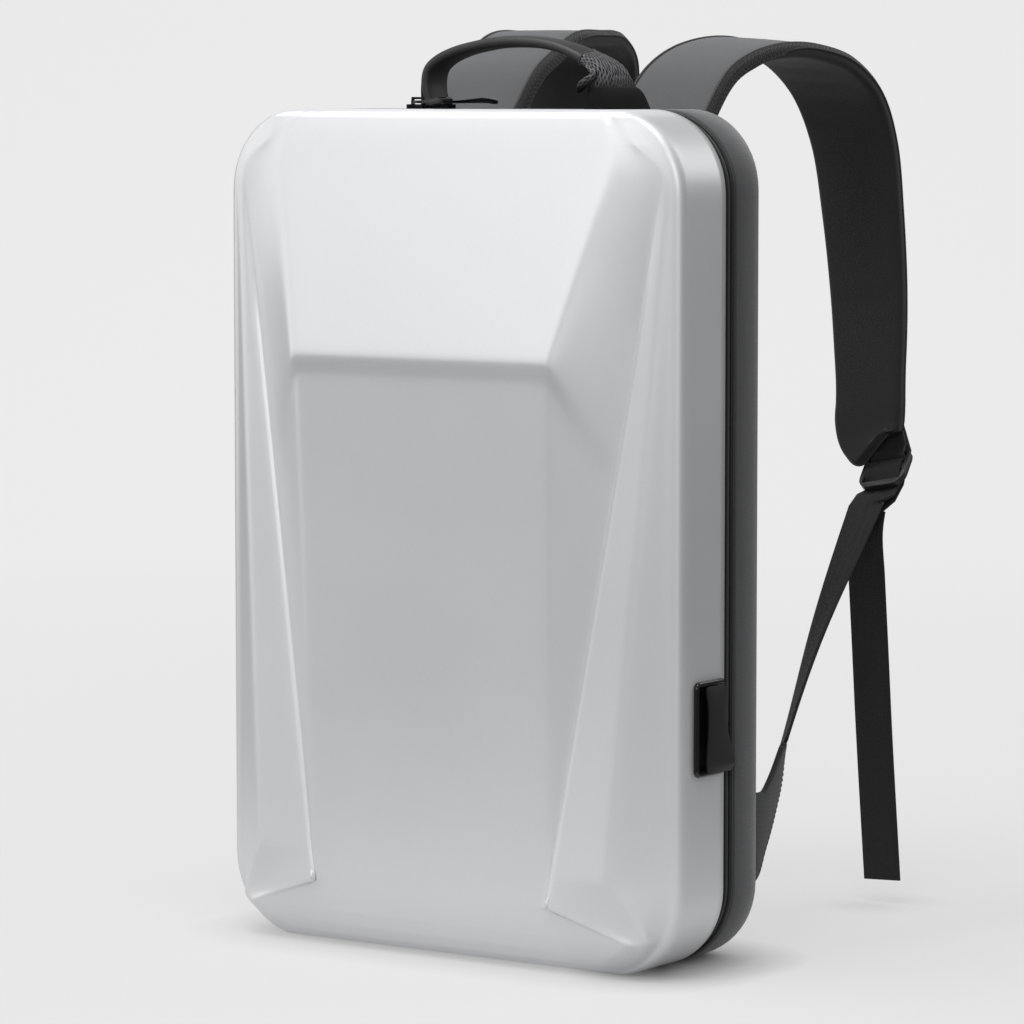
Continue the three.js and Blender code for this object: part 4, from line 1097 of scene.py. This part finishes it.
# Carry handle
def make_handle(scene):
    """Wrapped grip, the mesh sleeve over its right end with its cuff and fold, the mesh at its left end."""
    table = smooth_line(HANDLE_LINE, HANDLE_STEPS)
    sections = [round_section(w, HANDLE_THICK, HANDLE_ROUND, crown=HANDLE_CROWN) for w in table[:, 2]]
    rings = sweep(at_depth(table, HANDLE_Y), (0, 1, 0), sections)
    grip = loft("grip_wrap", rings, "leather", "handle_grip", mapped=False)
    for side, rows in GUSSET_LINES.items():
        table = smooth_line(rows, GUSSET_STEPS)
        line = at_depth(table, HANDLE_Y)
        sections = [round_section(w, t, min(9, t / 2.1), crown=0.12) for w, t in table[:, 2:]]
        rings = sweep(line, (0, 1, 0), sections)
        if side == "right":
            fade = np.clip(1 - path_lengths(line) / SLEEVE_FADE, 0, 1)[:, None] ** 2
            back = (rings[..., 1] - rings[..., 1].min(axis=1, keepdims=True)) / np.ptp(rings[0, :, 1])
            way = unit(rings[0].mean(axis=0) - rings[6].mean(axis=0))
            rings += (SLEEVE_SKEW * fade * back)[..., None] * way
            make_cord("sleeve_cuff", np.vstack([rings[0], rings[0, :2]]), CUFF_R, "piping")
        gusset = loft(f"mesh_gusset_{side}", rings, "mesh", f"handle_gusset_{side}")
    fold = smooth_line(FOLD_LINE, FOLD_STEPS)
    rings = sweep(fold[:, :3], (0, 1, 0), [circle(r, 10) for r in fold[:, 3]])
    loft("mesh_fold_right", rings, "mesh")


def make_cord(name, line, radius, finish, taper=0):
    """Sewn cord along a line, if wanted with an end that runs out thin over a number of steps."""
    left = len(line) - np.arange(len(line))
    thin = np.clip(left / taper, 0, 1) if taper else np.ones(len(line))
    aside = np.roll(unit(np.gradient(line, axis=0)), 1, axis=1)
    loft(name, sweep(line, aside, [circle(radius * t) for t in thin]), finish)


# Hard pieces that keep the frame's shape, with rounded edges
def rounded_copy(name, node_name, width, finish, body="bag"):
    """Copy of a hard node with its flat faces merged and its edges rounded."""
    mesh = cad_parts[node_name].data.copy()
    mesh.materials.clear()
    bm = bmesh.new()
    bm.from_mesh(mesh)
    bmesh.ops.remove_doubles(bm, verts=bm.verts, dist=0.01 * MM)
    bmesh.ops.dissolve_limit(bm, angle_limit=math.radians(2), verts=bm.verts, edges=bm.edges)
    bm.to_mesh(mesh)
    bm.free()
    round_edges(finish_piece(name, mesh, finish, node_name, body), width, 40)


def make_sliders(scene):
    """Zip sliders with their bridges, and the pull tabs that turn on them."""
    for side in ("left", "right"):
        rounded_copy(f"slider_{side}", f"zip_slider_{side}", 0.45, "metal")
        rounded_copy(f"pull_tab_{side}", f"zip_pull_{side}", 0.4, "metal", f"pull_{side}")


# Port
def make_port(scene):
    """Gloss frame of the port and its bowed rubber cover."""
    low = PORT_LOW - (0, 0, PORT_DROP)
    _, wide, high = PORT_HIGH - low
    rings = []
    for inset, lift in PORT_LEVELS:
        half, tall = wide / 2 - inset, high / 2 - inset
        loop = rounded_rectangle(half, -tall, tall, max(0.6, PORT_CORNER - inset), 6, 6.0)
        y, z = (loop + (low + PORT_HIGH)[1:] / 2).T
        rings.append(np.stack([np.full(len(loop), PORT_LOW[0] + lift), y, z], axis=1))
    size = max(len(r) for r in rings)
    rings = np.array([even_loop(r, size) for r in rings])
    loft("port_frame", rings, "port", "usb_frame", mapped=False)
    table = smooth_line(COVER_ROWS, COVER_STEPS[0])
    across = np.linspace(0, 1, COVER_STEPS[1] + 1)
    base = PORT_HIGH[0] + COVER_LIFT
    grid = np.array([[(base + lf + (lr - lf) * t + 4 * bow * t * (1 - t), front + (rear - front) * t, z)
                      for t in across] for z, front, rear, lf, lr, bow in table])
    cover = make_piece("rubber_cover", grid.reshape(-1, 3), grid_faces(len(table), len(across)), "rubber",
                       "usb_cover")
    add_wall(cover, COVER_THICK, 1)
    round_edges(cover, 0.5, 50)


# Shoulder straps
def strap_frames(side):
    """Middle line of a strap, its ways across and outward to the wearer, its width and its thickness."""
    table = np.array(STRAP_EDGES, float)
    if side == "left":
        for row, (y, z) in LEFT_SUMMIT.items():
            table[row, 2:] = y, z, z
    outer_rows = table[:, (1, 2, 4)]
    for row, turn in LEFT_TURN.items() if side == "left" else ():
        outer_rows[row, :2] += turn
    inner = smooth_line(table[:, (0, 2, 3)], STRAP_STEPS)
    outer = smooth_line(outer_rows, STRAP_STEPS)
    middle = (inner + outer) / 2
    _, across, normal = line_frames(middle, outer - inner)
    wide = np.linalg.norm(outer - inner, axis=1)
    late = np.clip((np.linspace(0, 1, STRAP_STEPS + 1) - STRAP_END) / (1 - STRAP_END), 0, 1)
    thick = STRAP_THICK * (1 - 0.6 * late ** 2)
    if side == "left":
        middle, across, normal = (mirror_x(part) for part in (middle, across, normal))
    return middle, across, normal, wide, thick


def band_places(edge, half, reach):
    """Section of the edging band round a strap's edge: from the grey face to reach degrees past the edge."""
    corner = min(STRAP_ROUND, half * 0.9)
    turns = np.radians(np.linspace(-BAND_TURN, reach, BAND_POINTS))
    places = circle_points(corner + BAND_THICK / 2, turns)
    places[:, 0] += edge - corner
    places[:, 1] += np.where(turns < 0, corner - half, half - corner)
    return places


def let_air_in(piece, free):
    """Swell a padded piece by a cloth simulation that holds all but its free points."""
    scene, mesh = bpy.context.scene, piece.data
    rest = np.empty(len(mesh.vertices) * 3)
    mesh.vertices.foreach_get("co", rest)
    held = piece.vertex_groups.new(name="seams")
    held.add([i for i in range(len(mesh.vertices)) if i not in free], 1.0, "REPLACE")
    cloth = piece.modifiers.new("Swell", "CLOTH")
    cloth.settings.quality = 6
    cloth.settings.use_pressure = True
    cloth.settings.uniform_pressure_force = PUFF_PRESSURE
    cloth.settings.vertex_group_mass = "seams"
    cloth.settings.effector_weights.gravity = 0
    cloth.collision_settings.use_collision = False
    cloth.point_cache.frame_start, cloth.point_cache.frame_end = 1, PUFF_STEPS
    for step in range(1, PUFF_STEPS + 1):
        scene.frame_set(step)
    swollen = np.empty_like(rest)
    shown = piece.evaluated_get(bpy.context.evaluated_depsgraph_get())
    shown.data.vertices.foreach_get("co", swollen)
    piece.modifiers.remove(cloth)
    piece.vertex_groups.remove(held)
    scene.frame_set(1)
    move = (swollen - rest).reshape(-1, 3)
    far = np.linalg.norm(move, axis=1, keepdims=True)
    limit = PUFF_LIMIT * MM
    move *= np.tanh(far / limit) * limit / np.maximum(far, 1e-9)
    mesh.vertices.foreach_set("co", (rest.reshape(-1, 3) + move).ravel())
    mesh.update()


def make_straps(scene):
    """Padded shoulder straps: foam body, grey face between two cords, edging bands and their hems."""
    first, last = (round(share * STRAP_STEPS) for share in FACING_SPAN)
    span, kept = slice(first, last + 1), slice(0, BAND_END + 1)
    reach = np.interp(np.linspace(0, 1, STRAP_STEPS + 1), *zip(*BAND_REACH))
    for side in ("right", "left"):
        middle, across, normal, wide, thick = strap_frames(side)
        sections = [round_section(w, t, min(STRAP_ROUND, t * 0.45), flat=PAD_FLAT)
                    for w, t in zip(wide, thick)]
        rings = lay(middle, across, normal, sections)
        pad = loft(f"strap_foam_{side}", rings, "strap", f"strap_pad_{side}")
        size = rings.shape[1]
        let_air_in(pad, {r * size + c for r in range(8, STRAP_STEPS - 8) for c in range(6, 6 + PAD_FLAT)})
        face_line = (middle - normal * (STRAP_THICK / 2 - 0.2))[span]
        face_wide = (wide - 2 * FACING_MARGIN)[span]
        sections = [round_section(w, FACING_THICK, 0.7, arc=3, crown=0.6) for w in face_wide]
        face = loft(f"strap_face_{side}", lay(face_line, across[span], normal[span], sections), "facing",
                    f"strap_facing_{side}")
        for edge, sign in (("inner", -1), ("outer", 1)):
            places = [band_places(w / 2, t / 2, r) for w, t, r in zip(wide, thick, reach)]
            grid = lay(middle[kept], across[kept] * sign, normal[kept], places[kept])
            count, size, _ = grid.shape
            faces = grid_faces(count, size)
            along, around = path_lengths(grid.mean(axis=1)) * MM, path_lengths(grid[0]) * MM
            flat = [(along[i // size], around[i % size]) for face in faces for i in face]
            band = make_piece(f"strap_band_{edge}_{side}", grid.reshape(-1, 3), faces, "binding",
                              cloth=flat)
            add_wall(band, BAND_THICK, 0)
            beside = face_line + across[span] * (sign * (face_wide / 2 + 0.6))[:, None] - normal[span] * 0.5
            make_cord(f"strap_cord_{edge}_{side}", beside, STRAP_CORD_R, "piping")
            make_cord(f"strap_hem_{edge}_{side}", grid[:, -1], STRAP_HEM_R, "hem", CORD_TAPER)


# Ladder locks, webbing and corner tabs
def lock_frame():
    """Middle of the right lock, and its unit directions along the bars, up and towards the bag."""
    bar = np.array([math.cos(LOCK_BAR_TILT), 0, math.sin(LOCK_BAR_TILT)])
    up = -np.array(LOCK_DOWN)
    up = unit(up - bar * np.dot(up, bar))
    return np.array(LOCK_AT), bar, up, np.cross(bar, up)


def in_lock(bar_step, rise, toward):
    """Point of the right lock by its own directions."""
    at, bar, up, to_bag = lock_frame()
    return at + bar * bar_step + up * rise + to_bag * toward


def half_turn(bar_height, over):
    """Webbing round a bar of the lock, from the bag's side to the other."""
    return [in_lock(0, bar_height + over * WRAP_R * math.sin(a), WRAP_R * math.cos(a))
            for a in np.linspace(0, math.pi, WRAP_STEPS + 1)]


def web_route():
    """Middle line of the right webbing from the corner tab round the lock to its end, and its width's way."""
    bar = lock_frame()[1]
    flat_to, free_from = (-LOCK_HIGH / 2 - lead for lead in LOCK_LEAD)
    entry = in_lock(EXIT_ASIDE[0], free_from, -1.0)
    start = np.array(GUSSET_TIP)
    sag = (start + entry) / 2 + ANCHOR_SAG
    anchor = even_line(smooth_line([start, sag, entry], 60), WEB_SPACING)
    under = -WRAP_R - WEB_THICK - 0.4
    tail = [in_lock(EXIT_ASIDE[1], free_from, under), *TAIL_LINE]
    tail = even_line(smooth_line(tail, 80), WEB_SPACING)
    line = np.vstack([anchor, in_lock(0, flat_to, -WRAP_R), in_lock(0, LOCK_SLOT[0], -WRAP_R),
                      in_lock(0, LOCK_SLOT[1], WRAP_R), half_turn(LOCK_BARS[0], 1),
                      in_lock(0, LOCK_SLOT[0], under), in_lock(0, flat_to, under), tail])
    share = np.minimum(1, np.arange(len(line)) / (len(anchor) - 2))[:, None] ** ANCHOR_TWIST
    return line, unit(unit(GUSSET_TIP_WIDTH) * (1 - share) + bar * share)


def loop_route():
    """Middle line of the loop that holds the right lock to the strap's end."""
    at, bar, _, _ = lock_frame()
    y, z, apart = LOOP_END
    ends = [np.array([at[0], y + step, z]) for step in (0, apart)]
    ends = [end - bar * np.dot(end - at, bar) for end in ends]
    past = LOCK_HIGH / 2 + LOOP_OVER
    return np.vstack([ends[0], in_lock(0, past, WRAP_R), half_turn(LOCK_BARS[1], -1),
                      in_lock(0, past, -WRAP_R), ends[1]])


def corner_tab():
    """Rings of the folded tab at the bag's lower corner, and lines for its seams."""
    lower, upper = (smooth_line(edge, TAB_STEPS) for edge in (TAB_LOWER, TAB_UPPER))
    middle, wide = (lower + upper) / 2, np.linalg.norm(upper - lower, axis=1)
    _, across, normal = line_frames(middle, upper - lower)
    rings = lay(middle, across, normal, [round_section(w, TAB_SHEET, 1.2, arc=3, crown=0.5) for w in wide])
    seams = []
    for level in (-1, 1):
        line = middle - across * (wide / 2 - TAB_SEAM_IN)[:, None] + normal * level * (TAB_SHEET / 2 + 0.5)
        seams.append((line[8:-1], normal[8:-1] * level))
    return rings, seams


def make_webbing(scene):
    """Adjusters, their loops, the lower webbing and the folded corner tabs."""
    line, ways = web_route()
    hold = loop_route()
    strap, loop = (round_section(wide, WEB_THICK, 0.6, arc=2) for wide in (WEB_WIDE, LOOP_WIDE))
    tab, seams = corner_tab()
    pieces = (                  # name, rings, finish, slot, node
        ("webbing", sweep(line, ways, [strap] * len(line)), "webbing", "webbing", "strap_webbing"),
        # The loop wears the pale hem finish: painted light on a leg that lies in shade under the strap's end
        ("adjuster_loop", sweep(hold, lock_frame()[1], [loop] * len(hold)), "hem", "webbing", "buckle_loop"),
        ("corner_tab", tab, "tab", "back_fabric", "strap_gusset"),
    )
    for side in ("right", "left"):
        turn = mirror_x if side == "left" else np.asarray
        for name, rings, finish, slot, stands_for in pieces:
            loft(f"{name}_{side}", turn(rings), finish, f"{stands_for}_{side}")
        paths = [(turn(seam), turn(up)) for seam, up in seams]
        stitch_lines(f"tab_stitches_{side}", paths, scene)
        rounded_copy(f"adjuster_{side}", f"ladder_lock_{side}", 1.1, "buckle")


# Stage
def studio_paper():
    """Seamless paper that glows evenly where the camera looks, less in front, to the sides and by the bag."""
    material, tree = new_material("studio_paper")
    place = node(tree, "TexCoord").outputs["Object"]
    across, away, _ = node(tree, "SeparateXYZ", {0: place}).outputs
    beside = node(tree, "Math", {0: across}, operation="ABSOLUTE")
    aside = node(tree, "Math", {0: away, 1: -VIEW_SPREAD, 2: beside}, operation="MULTIPLY_ADD")
    keys = ("Value", "From Min", "From Max", "To Min", "To Max")
    ramps = ((away, *GLOW_FAR, *PAPER_GLOW), (aside, *GLOW_SIDE, 1, 0), (away, *GLOW_FRONT, 0, 1),
             (across, *SHADOW_SPAN, *CONTACT_SHADOW))
    far, inside, behind, depth = (node(tree, "MapRange", dict(zip(keys, ramp))) for ramp in ramps)
    near = node(tree, "AmbientOcclusion", {"Distance": SHADOW_REACH}, samples=8)
    shut = node(tree, "Math", {0: 1.0, 1: near.outputs["AO"]}, operation="SUBTRACT")
    shadow = node(tree, "Math", {0: shut, 1: depth}, operation="MULTIPLY")
    glow = node(tree, "Math", {0: 1.0, 1: shadow}, operation="SUBTRACT")
    for factor in (far, inside, behind):
        glow = node(tree, "Math", {0: glow, 1: factor}, operation="MULTIPLY")
    fibre = node(tree, "TexNoise", {"Vector": place, "Scale": 1 / (2.5 * MM)})
    paper = node(tree, "Mix", {0: fibre, **two_shades(PAPER, 0.97, 1.03)}, data_type="RGBA")
    return finish_material(material, Base_Color=paper, Roughness=0.95, Specular_IOR_Level=0.0,
                           Emission_Color=(1, 1, 1, 1), Emission_Strength=glow)


def make_stage(scene):
    """Pale floor that rises behind the bag, soft lights and the camera at the photo's angle."""
    front, bend, radius, top = SWEEP_LINE
    turns = np.linspace(0, math.pi / 2, 13)
    profile = [(front, 0.0), *((bend + radius * math.sin(a), radius * (1 - math.cos(a))) for a in turns),
               (bend + radius, top)]
    mesh = bpy.data.meshes.new("studio_sweep")
    mesh.from_pydata([(x, y, z) for y, z in profile for x in (-SWEEP_HALF, SWEEP_HALF)], [],
                     [(2 * i, 2 * i + 1, 2 * i + 3, 2 * i + 2) for i in range(len(profile) - 1)])
    mesh.polygons.foreach_set("use_smooth", np.ones(len(mesh.polygons), bool))
    mesh.materials.append(studio_paper())
    floor = add_object("studio_sweep", mesh)
    floor.rotation_euler = (0, 0, CAMERA_TURN)
    scene.world = bpy.data.worlds.new("studio")
    scene.world.use_nodes = True
    room = scene.world.node_tree.nodes["Background"].inputs
    room["Color"].default_value, room["Strength"].default_value = (1, 1, 1, 1), ROOM_LIGHT
    for name, place, aim, sides, power in LIGHTS:
        light = bpy.data.lights.new(name, "AREA")
        light.shape, light.energy = "RECTANGLE", power
        light.size, light.size_y = sides
        lamp = add_object(name, light)
        lamp.location = place
        lamp.rotation_euler = (Vector(aim) - Vector(place)).to_track_quat("-Z", "Y").to_euler()
    camera = bpy.data.cameras.new("photo_camera")
    camera.sensor_width = SENSOR
    camera.lens = FOCAL_PIXELS / IMAGE_SIZE * SENSOR
    camera.clip_end = 50
    scene.camera = add_object("photo_camera", camera)
    scene.camera.location = Vector(CAMERA_AT) * MM
    scene.camera.rotation_euler = (math.pi / 2 - CAMERA_DOWN, 0, CAMERA_TURN)
    scene.view_settings.view_transform = "Standard"


# Add-on
class BagOperator:
    """What the operators share: the finishes are made once, before the first piece."""
    bl_options = {"REGISTER"}

    def execute(self, context):
        if not MATERIALS:
            MATERIALS.update(make_materials(context.scene))
        self.make(context.scene)
        return {"FINISHED"}


class BAG_OT_stage(BagOperator, bpy.types.Operator):
    """Floor, lights and camera"""
    bl_idname, bl_label, make = "bag.stage", "Set the stage", staticmethod(make_stage)


class BAG_OT_shell(BagOperator, bpy.types.Operator):
    """Moulded front shell"""
    bl_idname, bl_label, make = "bag.shell", "Make the shell", staticmethod(make_shell)


class BAG_OT_zip(BagOperator, bpy.types.Operator):
    """Zip tape, coil and piping"""
    bl_idname, bl_label, make = "bag.zip", "Make the zip", staticmethod(make_zip)


class BAG_OT_back(BagOperator, bpy.types.Operator):
    """Padded fabric back"""
    bl_idname, bl_label, make = "bag.back", "Make the back", staticmethod(make_back)


class BAG_OT_handle(BagOperator, bpy.types.Operator):
    """Grip and its mesh ends"""
    bl_idname, bl_label, make = "bag.handle", "Make the handle", staticmethod(make_handle)


class BAG_OT_sliders(BagOperator, bpy.types.Operator):
    """Zip sliders and pull tabs"""
    bl_idname, bl_label, make = "bag.sliders", "Make the sliders", staticmethod(make_sliders)


class BAG_OT_port(BagOperator, bpy.types.Operator):
    """Port frame and rubber cover"""
    bl_idname, bl_label, make = "bag.port", "Make the port", staticmethod(make_port)


class BAG_OT_straps(BagOperator, bpy.types.Operator):
    """Padded shoulder straps"""
    bl_idname, bl_label, make = "bag.straps", "Make the straps", staticmethod(make_straps)


class BAG_OT_webbing(BagOperator, bpy.types.Operator):
    """Adjusters, webbing and corner tabs"""
    bl_idname, bl_label, make = "bag.webbing", "Make the webbing", staticmethod(make_webbing)


OPERATORS = (
    BAG_OT_stage, BAG_OT_shell, BAG_OT_zip, BAG_OT_back, BAG_OT_handle, BAG_OT_sliders, BAG_OT_port,
    BAG_OT_straps, BAG_OT_webbing,
)


class BAG_PT_panel(bpy.types.Panel):
    """Sizes, colours and pieces of the backpack."""
    bl_label = "Laptop Backpack"
    bl_space_type = "VIEW_3D"
    bl_region_type = "UI"
    bl_category = "Backpack"

    def draw(self, context):
        for group in (context.scene.bag_sizes, context.scene.bag_colours):
            for key in type(group).__annotations__:
                self.layout.prop(group, key)
        for kind in OPERATORS:
            self.layout.operator(kind.bl_idname)


CLASSES = [BagSizes, BagColours, *OPERATORS, BAG_PT_panel]


def register():
    for kind in CLASSES:
        bpy.utils.register_class(kind)
    bpy.types.Scene.bag_sizes = PointerProperty(type=BagSizes)
    bpy.types.Scene.bag_colours = PointerProperty(type=BagColours)


def unregister():
    del bpy.types.Scene.bag_sizes
    del bpy.types.Scene.bag_colours
    for kind in reversed(CLASSES):
        bpy.utils.unregister_class(kind)


def main():
    """Make every piece in order."""
    register()
    for kind in OPERATORS:
        getattr(bpy.ops.bag, kind.bl_idname.split(".")[1])()


if __name__ == "__main__":
    main()
